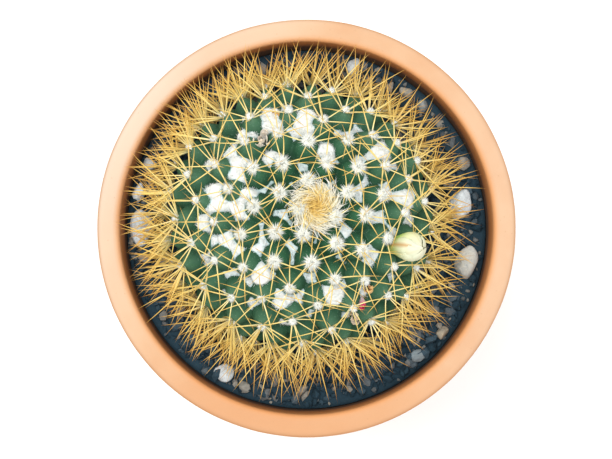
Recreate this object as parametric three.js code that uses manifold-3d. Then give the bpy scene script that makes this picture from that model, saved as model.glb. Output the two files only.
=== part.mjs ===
// A potted woolly nipple cactus: one low, round plant in a thick-rimmed clay pot filled with
// dark grit. Millimetres, +Z up, origin on the pot's axis at the level of its foot.
//
// The plant is one body. Its nipples (tubercles) stand on a flattened spheroid in the golden
// angle order of a real stem, and the spines are drawn out of the facets at each nipple's tip.
import * as THREE from 'three';
import { ConvexHull } from 'three/addons/math/ConvexHull.js';
import { mergeVertices } from 'three/addons/utils/BufferGeometryUtils.js';
import Module from 'manifold-3d';

const wasm = await Module();
wasm.setup();

// Clearance between neighbouring pieces, and the distance below which two corners are one
const GAP = 0.35;
const SAME_CORNER = 0.02;

// Pot
const POT_HEIGHT = 105;
const RIM_RADIUS = 60;
const RIM_WIDTH = 6.6;
const RIM_ROUND = 2;
const COLLAR_HEIGHT = 24;
const COLLAR_TAPER = 1.6;
const COLLAR_STEP = 3;
const FOOT_RADIUS = 39.5;
const EDGE_CHAMFER = 1;
const FLOOR_THICKNESS = 7;
const FLOOR_RADIUS = 34.2;
const COLLAR_INNER_RADIUS = 51.5;
const DRAIN_RADIUS = 5;
const POT_SIDES = 48;

// Soil and the grit on it
const SOIL_LEVEL = 95;
const GRAIN_COUNT = 80;
const GRAIN_MIN = 1.6;
const GRAIN_MAX = 2.9;
const GRAIN_RISE = 2.2;

// Plant body: a spheroid, leaning, with its centre just under the rim's plane
const BODY_RADIUS = 32.1;
const BODY_HALF_HEIGHT = 22.5;
const PLANT_PLACE = new THREE.Vector3(-1.64, 2.79, POT_HEIGHT - 1);
const LEAN_BACK = THREE.MathUtils.degToRad(3.2);
const LEAN_RIGHT = THREE.MathUtils.degToRad(8.9);
const ROOT_RADIUS = 8;
const ROOT_LENGTH = 24;

// Nipples, counted from the crown outwards
const GOLDEN_ANGLE = THREE.MathUtils.degToRad(137.5);
const FIRST_AZIMUTH = THREE.MathUtils.degToRad(55.9);
const CELL_AREA = 71.5;
const CROWN_CROWDING = 0.38;
const CROWN_FADE = 8;
const BURIED_FROM = THREE.MathUtils.degToRad(122);
const BURIED_CELLS = 5;
const NIPPLE_HEIGHT = 6.3;
const NIPPLE_RINGS = [[0.76, 0.34], [0.46, 0.72]];
const AREOLE_RINGS = [[1.25, 0.94], [0.55, 0.99]];
const LOWEST_TIP = 2.8;
const LOWEST_BASE = 0.8;

// Wool in the axils: where it is thickest, across the pot from its axis, and how far it spreads
const WOOL_PATCHES = [
  [-17, 14, 3.8], [-25, 11, 2.8], [-29, 1, 2.8], [-21, -12, 2.8], [-12.5, -12, 2.6],
  [-15, -3, 3], [-9.2, 27.4, 2.8], [-1, 29.5, 2.8], [-21, 23, 2.5], [-6, -20, 2.8],
  [0, -13.5, 2.6], [7.5, -18.5, 2.6], [11.5, 28, 2.8], [19.5, 21, 2.8], [25.5, 9.5, 2.6],
  [18.5, 4, 2.6], [16.5, -9.5, 2.6], [-6, 16, 3.2], [6, 18, 2.8], [12, 10, 2.6],
];
const WOOL_HEIGHT = 3.5;
const WOOL_LEAST = 6;

// Cream bud, and the smaller pink and withered flowers: where each leaves the plant, across
// the pot from its axis, then its bearing, its rise over the horizon and its size
const BUD = { at: [21.7, -5.5], bearing: -8, rise: 50, tube: 3.8, length: 12.6, radius: 3.9 };
const SMALL_FLOWERS = [
  { name: 'pink_bud', at: [14.9, -21.5], bearing: -60, rise: 55, length: 6.5, radius: 1.7, tepals: 5 },
  { name: 'withered_1', at: [19.1, -18.7], bearing: -15, rise: 60, length: 6, radius: 1.9, tepals: 5 },
  { name: 'withered_2', at: [14.2, -24.1], bearing: -105, rise: 52, length: 6.5, radius: 1.9, tepals: 5 },
  { name: 'withered_3', at: [-5.2, 29.8], bearing: 138, rise: 42, length: 6.5, radius: 1.8, tepals: 5 },
  { name: 'withered_4', at: [-12.2, 22.4], bearing: 105, rise: 72, length: 7, radius: 2.1, tepals: 6 },
];

// Loose stones on the grit: bearing round the pot, distance from its axis, length round the
// wall, length towards it, height, and what it is
const STONES = [
  [8.8, 45.4, 9.6, 8.2, 7, 'pumice'],
  [-12.2, 47.4, 10.2, 6.4, 6, 'pumice'],
  [179.6, 48.2, 10.6, 7.2, 7, 'pumice'],
  [168.2, 49.8, 6.4, 3.8, 5, 'pumice'],
  [157.9, 49.4, 4.4, 4.2, 3.6, 'pumice'],
  [-119.8, 48.2, 5.4, 6, 5, 'pumice'],
  [-111.5, 49.4, 3.8, 3.8, 3.4, 'pebble'],
  [73.8, 48.8, 4.8, 6.4, 5, 'pumice'],
  [53.8, 49.4, 4.2, 3.2, 3, 'pebble'],
  [46.6, 49.2, 3.6, 3.6, 3, 'pebble'],
  [-37.6, 49.6, 4.2, 3.4, 3, 'pebble'],
  [-49.2, 49.2, 4.6, 3.8, 3.4, 'pebble'],
  [22.6, 49.4, 4.8, 3.8, 3.6, 'pebble'],
];
const STONE_SUNK = 0.3;
const LARGE_STONE = 6;

// Spines
const RADIAL_LENGTH = [12, 16.5];
const RADIAL_RISE = [18, 42];
const CENTRAL_LENGTH = [13, 17.5];
const CENTRAL_RISE = [58, 80];
const SPINE_RADIUS = 0.4;
const SPINE_TRIES = 90;
const SPINE_CLEARANCE = 0.16;
const WALL_CLEARANCE = 1.2;
const GRIT_CLEARANCE = 0.8;
const FLOWER_CLEARANCE = 0.8;
const NIPPLE_CLEARANCE = 0.5;
const NIPPLE_REACH = 9;
const SPINE_REACH = 2 * CENTRAL_LENGTH[1];

const up = new THREE.Vector3(0, 0, 1);
const degrees = THREE.MathUtils.degToRad;
const lerp = THREE.MathUtils.lerp;

// Seeded random numbers between 0 and 1
function randomSource(seed) {
  let state = seed;
  return () => {
    state = (state + 0x6d2b79f5) | 0;
    let t = Math.imul(state ^ (state >>> 15), 1 | state);
    t = (t + Math.imul(t ^ (t >>> 7), 61 | t)) ^ t;
    return ((t ^ (t >>> 14)) >>> 0) / 4294967296;
  };
}

// A closed geometry as a solid, and a solid as a geometry
function toSolid(geometry) {
  const bare = geometry.clone();
  bare.deleteAttribute('normal');
  bare.deleteAttribute('uv');
  const merged = mergeVertices(bare, 1e-4);
  return new wasm.Manifold(new wasm.Mesh({
    numProp: 3,
    vertProperties: new Float32Array(merged.attributes.position.array),
    triVerts: new Uint32Array(merged.index.array),
  }));
}

// Corners that a cut leaves closer than a hair are one corner.
function toGeometry(solid) {
  const { vertProperties, triVerts } = solid.getMesh();
  const cut = new THREE.BufferGeometry();
  cut.setAttribute('position', new THREE.BufferAttribute(vertProperties, 3));
  cut.setIndex(new THREE.BufferAttribute(triVerts, 1));
  const geometry = mergeVertices(cut, SAME_CORNER);
  const corners = [...geometry.index.array];
  const kept = [];
  for (let i = 0; i < corners.length; i += 3) {
    const triangle = corners.slice(i, i + 3);
    if (new Set(triangle).size === 3) kept.push(...triangle);
  }
  geometry.setIndex(kept);
  geometry.computeVertexNormals();
  return geometry;
}

function fromTriangles(points, triangles) {
  const geometry = new THREE.BufferGeometry();
  geometry.setFromPoints(points);
  geometry.setIndex(triangles.flat());
  return geometry;
}

// A convex solid round a list of points
function hullSolid(points) {
  const hull = new ConvexHull().setFromPoints(points);
  const corners = [];
  for (const face of hull.faces) {
    corners.push(face.edge.tail().point, face.edge.head().point, face.edge.next.head().point);
  }
  const geometry = new THREE.BufferGeometry();
  geometry.setFromPoints(corners);
  return toSolid(geometry);
}

function lathe(outline, sides) {
  const geometry = new THREE.LatheGeometry(outline.map(([r, z]) => new THREE.Vector2(r, z)), sides);
  geometry.rotateX(Math.PI / 2);
  return geometry;
}

const materials = {
  clay: new THREE.MeshStandardMaterial({ color: 0xd9a273, roughness: 0.85 }),
  grit: new THREE.MeshStandardMaterial({ color: 0x2b3640, roughness: 0.95 }),
  skin: new THREE.MeshStandardMaterial({ color: 0x2c5a44, roughness: 0.55 }),
  wool: new THREE.MeshStandardMaterial({ color: 0xe9edee, roughness: 1 }),
  tepal: new THREE.MeshStandardMaterial({ color: 0xe9ddb0, roughness: 0.6 }),
  pink: new THREE.MeshStandardMaterial({ color: 0xd98f86, roughness: 0.6 }),
  withered: new THREE.MeshStandardMaterial({ color: 0xb5652c, roughness: 0.85 }),
  pumice: new THREE.MeshStandardMaterial({ color: 0xd6d7d2, roughness: 0.9 }),
  pebble: new THREE.MeshStandardMaterial({ color: 0x9a9384, roughness: 0.85 }),
};

function mesh(name, geometry, material) {
  const piece = new THREE.Mesh(geometry, material);
  piece.name = name;
  return piece;
}

// Pot: one closed outline turned round the axis. The inner wall is steeper inside the collar.
const INNER_RADIUS = RIM_RADIUS - RIM_WIDTH;
const COLLAR_FOOT = POT_HEIGHT - COLLAR_HEIGHT;

function innerRadius(z) {
  if (z > COLLAR_FOOT) {
    return lerp(COLLAR_INNER_RADIUS, INNER_RADIUS, (z - COLLAR_FOOT) / COLLAR_HEIGHT);
  }
  const share = (z - FLOOR_THICKNESS) / (COLLAR_FOOT - FLOOR_THICKNESS);
  return lerp(FLOOR_RADIUS, COLLAR_INNER_RADIUS, share);
}

function arc(centre, radius, from, to, steps) {
  const points = [];
  for (let i = 0; i <= steps; i += 1) {
    const angle = degrees(lerp(from, to, i / steps));
    points.push([centre[0] + radius * Math.cos(angle), centre[1] + radius * Math.sin(angle)]);
  }
  return points;
}

function pot() {
  const collarRadius = RIM_RADIUS - COLLAR_TAPER;
  const outline = [
    [DRAIN_RADIUS, 0],
    [FOOT_RADIUS - EDGE_CHAMFER, 0],
    [FOOT_RADIUS, EDGE_CHAMFER],
    [collarRadius - COLLAR_STEP, COLLAR_FOOT],
    [collarRadius - EDGE_CHAMFER, COLLAR_FOOT],
    [collarRadius, COLLAR_FOOT + EDGE_CHAMFER],
    ...arc([RIM_RADIUS - RIM_ROUND, POT_HEIGHT - RIM_ROUND], RIM_ROUND, 0, 90, 3),
    ...arc([INNER_RADIUS + RIM_ROUND, POT_HEIGHT - RIM_ROUND], RIM_ROUND, 90, 180, 3),
    [COLLAR_INNER_RADIUS, COLLAR_FOOT],
    [FLOOR_RADIUS, FLOOR_THICKNESS],
    [DRAIN_RADIUS, FLOOR_THICKNESS],
    [DRAIN_RADIUS, 0],
  ];
  return mesh('pot', lathe(outline, POT_SIDES), materials.clay);
}

// Sites of the nipples on the spheroid. Each takes the same area of the surface through the
// nipples' middle, but the youngest ones, at the crown, take less. The buried part of the
// body has no nipples, and its sites are far apart.
function siteAngles() {
  const steps = 3000;
  const a = BODY_RADIUS + NIPPLE_HEIGHT / 2;
  const c = BODY_HALF_HEIGHT + NIPPLE_HEIGHT / 2;
  const angles = [];
  let area = 0;
  let taken = 0;
  let next = CELL_AREA * (1 - CROWN_CROWDING);
  for (let i = 0; i < steps; i += 1) {
    const theta = ((i + 0.5) / steps) * Math.PI;
    const arcLength = Math.hypot(a * Math.cos(theta), c * Math.sin(theta)) * (Math.PI / steps);
    area += 2 * Math.PI * a * Math.sin(theta) * arcLength;
    while (area > taken + next / 2) {
      angles.push(theta);
      taken += next;
      next = CELL_AREA * (1 - CROWN_CROWDING * Math.exp(-angles.length / CROWN_FADE));
      if (theta > BURIED_FROM) next *= BURIED_CELLS;
    }
  }
  return angles;
}

function onSpheroid(point) {
  const across = Math.hypot(point.x, point.y) / BODY_RADIUS;
  return point.clone().divideScalar(Math.hypot(across, point.z / BODY_HALF_HEIGHT));
}

function spheroidNormal(point) {
  const a2 = BODY_RADIUS ** 2;
  const c2 = BODY_HALF_HEIGHT ** 2;
  return new THREE.Vector3(point.x / a2, point.y / a2, point.z / c2).normalize();
}

const plant = new THREE.Group();
plant.position.copy(PLANT_PLACE);
plant.rotation.set(-LEAN_BACK, LEAN_RIGHT, 0);
plant.updateMatrixWorld();

function toPot(point) {
  return point.clone().applyMatrix4(plant.matrixWorld);
}

function toPlant(point) {
  return point.clone().applyMatrix4(plant.matrixWorld.clone().invert());
}

function makeSites() {
  return siteAngles().map((theta, n) => {
    const azimuth = FIRST_AZIMUTH + n * GOLDEN_ANGLE;
    const base = new THREE.Vector3(
      BODY_RADIUS * Math.sin(theta) * Math.cos(azimuth),
      BODY_RADIUS * Math.sin(theta) * Math.sin(azimuth),
      BODY_HALF_HEIGHT * Math.cos(theta),
    );
    const axis = spheroidNormal(base);
    axis.addScaledVector(up, 0.5 * Math.max(0, 0.25 - axis.z)).normalize();
    const age = 1 - Math.exp(-(n + 1) / 5);
    const height = NIPPLE_HEIGHT * lerp(0.55, 1, age);
    const tip = base.clone().addScaledVector(axis, height);
    const lowTip = toPot(tip).z < SOIL_LEVEL + LOWEST_TIP;
    const bare = lowTip || toPot(base).z < SOIL_LEVEL + LOWEST_BASE;
    return { n, base, axis, height, tip, age, bare, cell: [] };
  });
}

// The sites' triangles. The middle of each is an axil, the pit between three nipples.
function makeAxils(sites) {
  const hull = new ConvexHull().setFromPoints(sites.map((site) => site.base));
  const index = new Map(sites.map((site) => [site.base, site.n]));
  return hull.faces.map((face, number) => {
    const corners = [face.edge.tail(), face.edge.head(), face.edge.next.head()];
    const around = corners.map((corner) => index.get(corner.point));
    const middle = new THREE.Vector3();
    around.forEach((n) => middle.add(sites[n].base));
    const place = onSpheroid(middle.divideScalar(3));
    around.forEach((n) => sites[n].cell.push(number));
    return { place, normal: spheroidNormal(place) };
  });
}

// Each site's axils in order round it, anticlockwise seen from outside
function sortCells(sites, axils) {
  for (const site of sites) {
    const side = new THREE.Vector3().crossVectors(up, site.axis).normalize();
    const front = new THREE.Vector3().crossVectors(site.axis, side);
    const bearing = (number) => {
      const away = axils[number].place.clone().sub(site.base);
      return Math.atan2(away.dot(front), away.dot(side));
    };
    site.cell.sort((p, q) => bearing(p) - bearing(q));
  }
}

const sites = makeSites();
const axils = makeAxils(sites);
sortCells(sites, axils);

// Points of one nipple: rings from the axils up to the areole, then its middle. With grow
// above 0 every ring is pushed outwards, for the clearance that other pieces keep.
function nippleRings(site, grow) {
  const rings = NIPPLE_RINGS.map(([share, rise]) => site.cell.map((number) => {
    const away = axils[number].place.clone().sub(site.base);
    const wider = share + (1.1 * grow) / away.length();
    return site.base.clone().addScaledVector(away, wider)
      .addScaledVector(site.axis, rise * site.height + 0.6 * grow);
  }));
  for (const [radius, rise] of AREOLE_RINGS) {
    rings.push(site.cell.map((number) => {
      const away = axils[number].place.clone().sub(site.base).projectOnPlane(site.axis).normalize();
      return site.base.clone().addScaledVector(away, radius + grow)
        .addScaledVector(site.axis, rise * site.height + 0.6 * grow);
    }));
  }
  return rings;
}

// The plant's skin, closed all round. With spines, each spine is a facet of the areole drawn
// out to its point.
function skin(grow, spines) {
  const points = axils.map((axil) => axil.place.clone().addScaledVector(axil.normal, 1.8 * grow));
  const triangles = [];
  const add = (point) => points.push(point) - 1;
  for (const site of sites) {
    const count = site.cell.length;
    if (site.bare) {
      const middle = add(site.base.clone().addScaledVector(site.axis, grow));
      site.cell.forEach((number, i) => triangles.push([middle, number, site.cell[(i + 1) % count]]));
      continue;
    }
    const facet = (a, b, c, key) => {
      const tip = spines?.get(`${site.n} ${key}`);
      if (!tip) {
        triangles.push([a, b, c]);
        return;
      }
      const point = add(tip);
      triangles.push([a, b, point], [b, c, point], [c, a, point]);
    };
    const rings = [site.cell, ...nippleRings(site, grow).map((ring) => ring.map(add))];
    for (let r = 0; r + 1 < rings.length; r += 1) {
      const last = r + 2 === rings.length;
      for (let i = 0; i < count; i += 1) {
        const j = (i + 1) % count;
        const [outer, inner] = [rings[r], rings[r + 1]];
        facet(inner[i], outer[i], inner[j], last ? `radial ${i}` : '');
        facet(outer[i], outer[j], inner[j], '');
      }
    }
    const top = rings[rings.length - 1];
    const middle = add(site.tip.clone().addScaledVector(site.axis, grow));
    top.forEach((corner, i) => facet(middle, corner, top[(i + 1) % count], `central ${i}`));
  }
  return toSolid(fromTriangles(points, triangles));
}

// Shortest distance between two straight stretches, less the width of the spines there
function spineDistance(p, q) {
  const u = p.tip.clone().sub(p.root);
  const v = q.tip.clone().sub(q.root);
  const w = p.root.clone().sub(q.root);
  const [a, b, c, d, e] = [u.dot(u), u.dot(v), v.dot(v), u.dot(w), v.dot(w)];
  const spread = a * c - b * b;
  let s = spread < 1e-9 ? 0 : THREE.MathUtils.clamp((b * e - c * d) / spread, 0, 1);
  const t = THREE.MathUtils.clamp((b * s + e) / c, 0, 1);
  s = THREE.MathUtils.clamp((b * t - d) / a, 0, 1);
  const between = w.addScaledVector(u, s).addScaledVector(v, -t).length();
  return between - SPINE_RADIUS * (2 - s - t);
}

// A spine keeps clear of the other spines, nipples, flowers, stones, grit and pot
function spineIsClear(spine, placed, solids) {
  for (let share = 0.2; share < 1.01; share += 0.16) {
    const point = spine.root.clone().lerp(spine.tip, share);
    const inPot = toPot(point);
    const wall = inPot.z < POT_HEIGHT ? innerRadius(inPot.z) : INNER_RADIUS + RIM_ROUND;
    if (Math.hypot(inPot.x, inPot.y) > wall - WALL_CLEARANCE) return false;
    if (inPot.z < SOIL_LEVEL + GRAIN_RISE + GRIT_CLEARANCE) return false;
    for (const solid of solids) {
      const nearest = solid.line.closestPointToPoint(point, true, new THREE.Vector3());
      if (nearest.distanceTo(point) < solid.radius + FLOWER_CLEARANCE) return false;
    }
    for (const site of sites) {
      if (site.n === spine.n || site.bare || site.tip.distanceTo(point) > NIPPLE_REACH) continue;
      const away = point.clone().sub(site.base);
      const along = away.dot(site.axis);
      const beside = away.addScaledVector(site.axis, -along).length();
      const thickness = AREOLE_RINGS[0][0] + 0.6 * Math.max(0, site.height - along);
      const low = along < site.height + NIPPLE_CLEARANCE;
      if (low && beside < thickness + NIPPLE_CLEARANCE) return false;
    }
  }
  return placed.every((other) => other.n === spine.n
    || other.root.distanceTo(spine.root) > SPINE_REACH
    || spineDistance(spine, other) > SPINE_CLEARANCE);
}

// One spine on its facet. Where the first draw meets something, others near it are tried.
function growSpine(site, corners, range, random, placed, solids) {
  const root = new THREE.Vector3();
  corners.forEach((corner) => root.add(corner));
  root.divideScalar(3);
  const away = root.clone().sub(site.tip).projectOnPlane(site.axis).normalize();
  const upright = range === CENTRAL_RISE;
  const [shortest, longest] = upright ? CENTRAL_LENGTH : RADIAL_LENGTH;
  for (let attempt = 0; attempt < SPINE_TRIES; attempt += 1) {
    const looser = attempt / SPINE_TRIES;
    const steeper = 22 * (1 - site.age) + 16 * looser * random();
    const rise = degrees(lerp(range[0], range[1], random()) + steeper);
    const turn = degrees((random() - 0.5) * lerp(20, 50, looser));
    const grown = lerp(0.55, 1, site.age) * (1 - 0.3 * looser);
    const length = lerp(shortest, longest, random()) * grown;
    const direction = away.clone().applyAxisAngle(site.axis, turn).multiplyScalar(Math.cos(rise));
    direction.addScaledVector(site.axis, Math.sin(rise));
    direction.addScaledVector(up, 0.35 * Math.max(0, 0.5 - site.axis.z)).normalize();
    const tip = root.clone().addScaledVector(direction, length);
    const spine = { n: site.n, root, tip };
    if (spineIsClear(spine, placed, solids)) {
      placed.push(spine);
      return spine;
    }
  }
  return null;
}

function makeSpines(solids) {
  const random = randomSource(11);
  const spines = new Map();
  const placed = [];
  for (const site of sites.filter((each) => !each.bare)) {
    const rings = nippleRings(site, 0);
    const [outer, inner] = rings.slice(-2);
    const count = site.cell.length;
    const centrals = [site.n % count, (site.n + Math.floor(count / 2)) % count];
    for (let i = 0; i < count; i += 1) {
      const j = (i + 1) % count;
      if (centrals.includes(i)) {
        const corners = [site.tip, inner[i], inner[j]];
        const spine = growSpine(site, corners, CENTRAL_RISE, random, placed, solids);
        if (spine) spines.set(`${site.n} central ${i}`, spine.tip);
      }
      const corners = [inner[i], outer[i], inner[j]];
      const spine = growSpine(site, corners, RADIAL_RISE, random, placed, solids);
      if (spine) spines.set(`${site.n} radial ${i}`, spine.tip);
    }
  }
  return spines;
}

// Where a flower leaves the plant: the axil nearest to a place given across the pot
function nearestAxil(at) {
  const across = (axil) => {
    const place = toPot(axil.place);
    return place.z < SOIL_LEVEL ? Infinity : Math.hypot(place.x - at[0], place.y - at[1]);
  };
  return axils.reduce((best, axil) => (across(axil) < across(best) ? axil : best));
}

function flowerLine(flower) {
  const [bearing, rise] = [degrees(flower.bearing), degrees(flower.rise)];
  const direction = new THREE.Vector3(
    Math.cos(rise) * Math.cos(bearing),
    Math.cos(rise) * Math.sin(bearing),
    Math.sin(rise),
  );
  const inPlant = direction.transformDirection(plant.matrixWorld.clone().invert());
  return { root: nearestAxil(flower.at).place, direction: inPlant };
}

// Moves points from an upright frame onto a flower's line, start millimetres along it
function along(points, line, start) {
  const turn = new THREE.Quaternion().setFromUnitVectors(up, line.direction);
  return points.map((point) => point.clone().applyQuaternion(turn)
    .add(line.root).addScaledVector(line.direction, start));
}

function turned(outline, sides, line, start) {
  const geometry = lathe(outline, sides);
  const turn = new THREE.Quaternion().setFromUnitVectors(up, line.direction);
  const place = line.root.clone().addScaledVector(line.direction, start);
  geometry.applyMatrix4(new THREE.Matrix4().compose(place, turn, new THREE.Vector3(1, 1, 1)));
  return toSolid(geometry);
}

// One pointed tepal lying on a flower's swelling, bowed along and across
function tepal(line, start, length, radius, width, bearing, lean) {
  const points = [];
  for (const [share, out, wide] of [[0, 0.45, 0.5], [0.42, 0.96, 0.9], [0.78, 0.92, 0.65]]) {
    for (const [side, bow] of [[-1, 0.96], [0, 1.05], [1, 0.96], [0, 0.7]]) {
      const swing = bearing + (side * wide * width) / radius;
      const distance = radius * (out * bow + lean * share);
      points.push(new THREE.Vector3(
        distance * Math.cos(swing), distance * Math.sin(swing), share * length));
    }
  }
  const reach = radius * (0.34 + lean * 1.1);
  points.push(new THREE.Vector3(reach * Math.cos(bearing), reach * Math.sin(bearing), length));
  return hullSolid(along(points, line, start));
}

function largestPart(solid) {
  return solid.decompose().reduce((best, part) => (part.volume() > best.volume() ? part : best));
}

const budLine = flowerLine(BUD);
const TUBE_TOP = 2.7;
const TUBE_OUTLINE = [[0, -2], [1.5, -2], [1.9, 2], [TUBE_TOP, BUD.tube], [0, BUD.tube]];

function budTube(grow) {
  const outline = TUBE_OUTLINE.map(([r, z]) => [r === 0 ? 0 : r + grow, z + (z > 2 ? grow : 0)]);
  return turned(outline, 10, budLine, 0);
}

function rootCone(grow) {
  const outline = [
    [0, -BODY_HALF_HEIGHT - ROOT_LENGTH - grow],
    [2 + grow, -BODY_HALF_HEIGHT - ROOT_LENGTH - grow],
    [ROOT_RADIUS + grow, -BODY_HALF_HEIGHT + 2],
    [0, -BODY_HALF_HEIGHT + 2],
  ];
  return toSolid(lathe(outline, 10));
}

// The plant with the clearance that its neighbours keep
const plantSpace = skin(GAP, null).add(rootCone(GAP)).add(budTube(GAP));

function creamBud() {
  const start = BUD.tube + GAP;
  const { length, radius } = BUD;
  const core = turned([
    [0, 0], [0.5 * radius, 0], [0.84 * radius, 0.32 * length], [0.88 * radius, 0.62 * length],
    [0.45 * radius, 0.86 * length], [0, 0.88 * length],
  ], 8, budLine, start);
  const tepals = [core];
  for (const [layer, count] of [[0, 6], [1, 6]]) {
    for (let i = 0; i < count; i += 1) {
      const bearing = ((i + 0.5 * layer) / count) * 2 * Math.PI;
      const tall = length * (layer === 0 ? 0.9 : 1);
      const wide = radius * (layer === 0 ? 1.04 : 0.96);
      tepals.push(tepal(budLine, start, tall, wide, 1.9, bearing, layer === 0 ? 0.14 : 0.02));
    }
  }
  const solid = wasm.Manifold.union(tepals).subtract(plantSpace);
  return mesh('flower_bud', toGeometry(largestPart(solid)), materials.tepal);
}

// A small closed or withered flower, down in its axil: a core with narrow tepals about it
function smallFlower(flower, seed) {
  const random = randomSource(seed);
  const line = flowerLine(flower);
  const { length, radius, tepals } = flower;
  const core = turned([
    [0, 0], [0.7 * radius, 0.4], [0.8 * radius, 0.5 * length], [0, 0.85 * length],
  ], 6, line, 0);
  const parts = [core];
  for (let i = 0; i < tepals; i += 1) {
    const bearing = ((i + 0.3 * random()) / tepals) * 2 * Math.PI;
    const tall = length * lerp(0.85, 1.15, random());
    parts.push(tepal(line, 0.3, tall, radius, 0.75, bearing, lerp(0, 0.5, random())));
  }
  const solid = wasm.Manifold.union(parts).subtract(plantSpace);
  const material = flower.name.startsWith('pink') ? materials.pink : materials.withered;
  return mesh(flower.name, toGeometry(largestPart(solid)), material);
}

// The space round a flower, for the wool and the spines to keep out of
function flowerSolid(flower, start) {
  const line = flowerLine(flower);
  const from = line.root.clone().addScaledVector(line.direction, start);
  const to = line.root.clone().addScaledVector(line.direction, start + flower.length);
  return { line: new THREE.Line3(from, to), radius: flower.radius * 1.1 };
}

// Wool: a soft surface over the axils, less the plant below it
function woolHeight(axil) {
  const place = toPot(axil.place);
  if (place.z < SOIL_LEVEL + 6) return 0;
  let height = 0;
  for (const [x, y, spread] of WOOL_PATCHES) {
    const away = Math.hypot(place.x - x, place.y - y) / spread;
    height = Math.max(height, WOOL_HEIGHT * Math.exp(-0.5 * away ** 2));
  }
  return height;
}

function woolPieces(flowers) {
  const points = axils.map((axil) => (
    axil.place.clone().addScaledVector(axil.normal, woolHeight(axil))));
  const triangles = [];
  for (const site of sites) {
    const count = site.cell.length;
    const lift = site.bare ? 0 : 0.2 * site.height;
    const middle = points.push(site.base.clone().addScaledVector(site.axis, lift)) - 1;
    for (let i = 0; i < count; i += 1) {
      triangles.push([site.cell[i], site.cell[(i + 1) % count], middle]);
    }
  }
  let solid = toSolid(fromTriangles(points, triangles)).subtract(plantSpace);
  for (const { line, radius } of flowers) {
    const geometry = new THREE.CapsuleGeometry(radius + GAP, line.distance(), 2, 8);
    geometry.rotateX(Math.PI / 2);
    const direction = line.delta(new THREE.Vector3()).normalize();
    const turn = new THREE.Quaternion().setFromUnitVectors(up, direction);
    const middle = line.getCenter(new THREE.Vector3());
    geometry.applyMatrix4(new THREE.Matrix4().compose(middle, turn, new THREE.Vector3(1, 1, 1)));
    solid = solid.subtract(toSolid(geometry));
  }
  return solid.decompose()
    .filter((part) => part.volume() > WOOL_LEAST)
    .sort((p, q) => q.volume() - p.volume())
    .map((part, i) => mesh(`wool_${i + 1}`, toGeometry(part), materials.wool));
}

// Stones: rounded lumps, each partly sunk in a pocket of its own
function stoneCentre([bearing, distance, , , height]) {
  const angle = degrees(bearing);
  const level = SOIL_LEVEL + height * (0.5 - STONE_SUNK);
  return new THREE.Vector3(distance * Math.cos(angle), distance * Math.sin(angle), level);
}

function stonePoints(row, seed, grow) {
  const random = randomSource(seed);
  const [bearing, , round, inwards, height] = row;
  const points = [];
  const count = round > LARGE_STONE ? 26 : 16;
  for (let i = 0; i < count; i += 1) {
    const z = 1 - (2 * i + 1) / count;
    const azimuth = i * GOLDEN_ANGLE + random();
    const lump = lerp(0.86, 1, random());
    const flat = Math.sqrt(1 - z * z);
    points.push(new THREE.Vector3(
      (inwards / 2) * lump * flat * Math.cos(azimuth),
      (round / 2) * lump * flat * Math.sin(azimuth),
      (height / 2) * lump * z,
    ));
  }
  const larger = 1 + (2.7 * grow) / Math.min(inwards, round, height);
  const turn = new THREE.Matrix4().makeRotationZ(degrees(bearing));
  const centre = stoneCentre(row);
  return points.map((point) => point.multiplyScalar(larger).applyMatrix4(turn).add(centre));
}

function stoneSpace(row) {
  const centre = toPlant(stoneCentre(row));
  const top = centre.clone().addScaledVector(up, 0.1);
  return { line: new THREE.Line3(centre, top), radius: 0.5 * Math.max(row[2], row[3]) };
}

// Soil: one body that fills the pot, with angular grains of grit fused to its top
function soil() {
  const floor = FLOOR_THICKNESS + GAP;
  const body = toSolid(lathe([
    [0, floor],
    [FLOOR_RADIUS - GAP, floor],
    [COLLAR_INNER_RADIUS - GAP, COLLAR_FOOT],
    [innerRadius(SOIL_LEVEL) - GAP, SOIL_LEVEL],
    [0, SOIL_LEVEL],
  ], POT_SIDES));
  const random = randomSource(5);
  const grains = [body];
  const outermost = innerRadius(SOIL_LEVEL) - GAP - 0.4;
  const innermost = 0.72 * BODY_RADIUS;
  for (let i = 0; i < GRAIN_COUNT; i += 1) {
    const size = lerp(GRAIN_MIN, GRAIN_MAX, random() ** 1.5);
    const reach = outermost - size;
    const distance = Math.sqrt(lerp(innermost ** 2, reach ** 2, (i + 0.5) / GRAIN_COUNT));
    const azimuth = i * GOLDEN_ANGLE + 0.3 * random();
    const middle = new THREE.Vector3(
      distance * Math.cos(azimuth), distance * Math.sin(azimuth), SOIL_LEVEL + 0.15 * size);
    const points = [];
    for (const axis of [[1, 0, 0], [-1, 0, 0], [0, 1, 0], [0, -1, 0], [0, 0, 1], [0, 0, -1]]) {
      const corner = new THREE.Vector3(...axis).applyAxisAngle(up, 6 * random());
      corner.x += 0.5 * (random() - 0.5);
      corner.z = 0.62 * (corner.z + 0.5 * (random() - 0.5));
      points.push(corner.multiplyScalar(size).add(middle));
    }
    grains.push(hullSolid(points));
  }
  let solid = wasm.Manifold.union(grains);
  solid = solid.subtract(plantSpace.transform(plant.matrixWorld.elements));
  STONES.forEach((row, i) => {
    solid = solid.subtract(hullSolid(stonePoints(row, i + 1, GAP)));
  });
  return mesh('soil', toGeometry(largestPart(solid)), materials.grit);
}

const smallSolids = SMALL_FLOWERS.map((flower) => flowerSolid(flower, 0));
const flowerSolids = [flowerSolid(BUD, BUD.tube), ...smallSolids];
const tubeLine = new THREE.Line3(budLine.root, flowerSolids[0].line.start);
const tubeSolid = { line: tubeLine, radius: TUBE_TOP };
const spineStops = [...flowerSolids, tubeSolid, ...STONES.map(stoneSpace)];
const cactus = skin(0, makeSpines(spineStops)).add(rootCone(0)).add(budTube(0));

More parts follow.
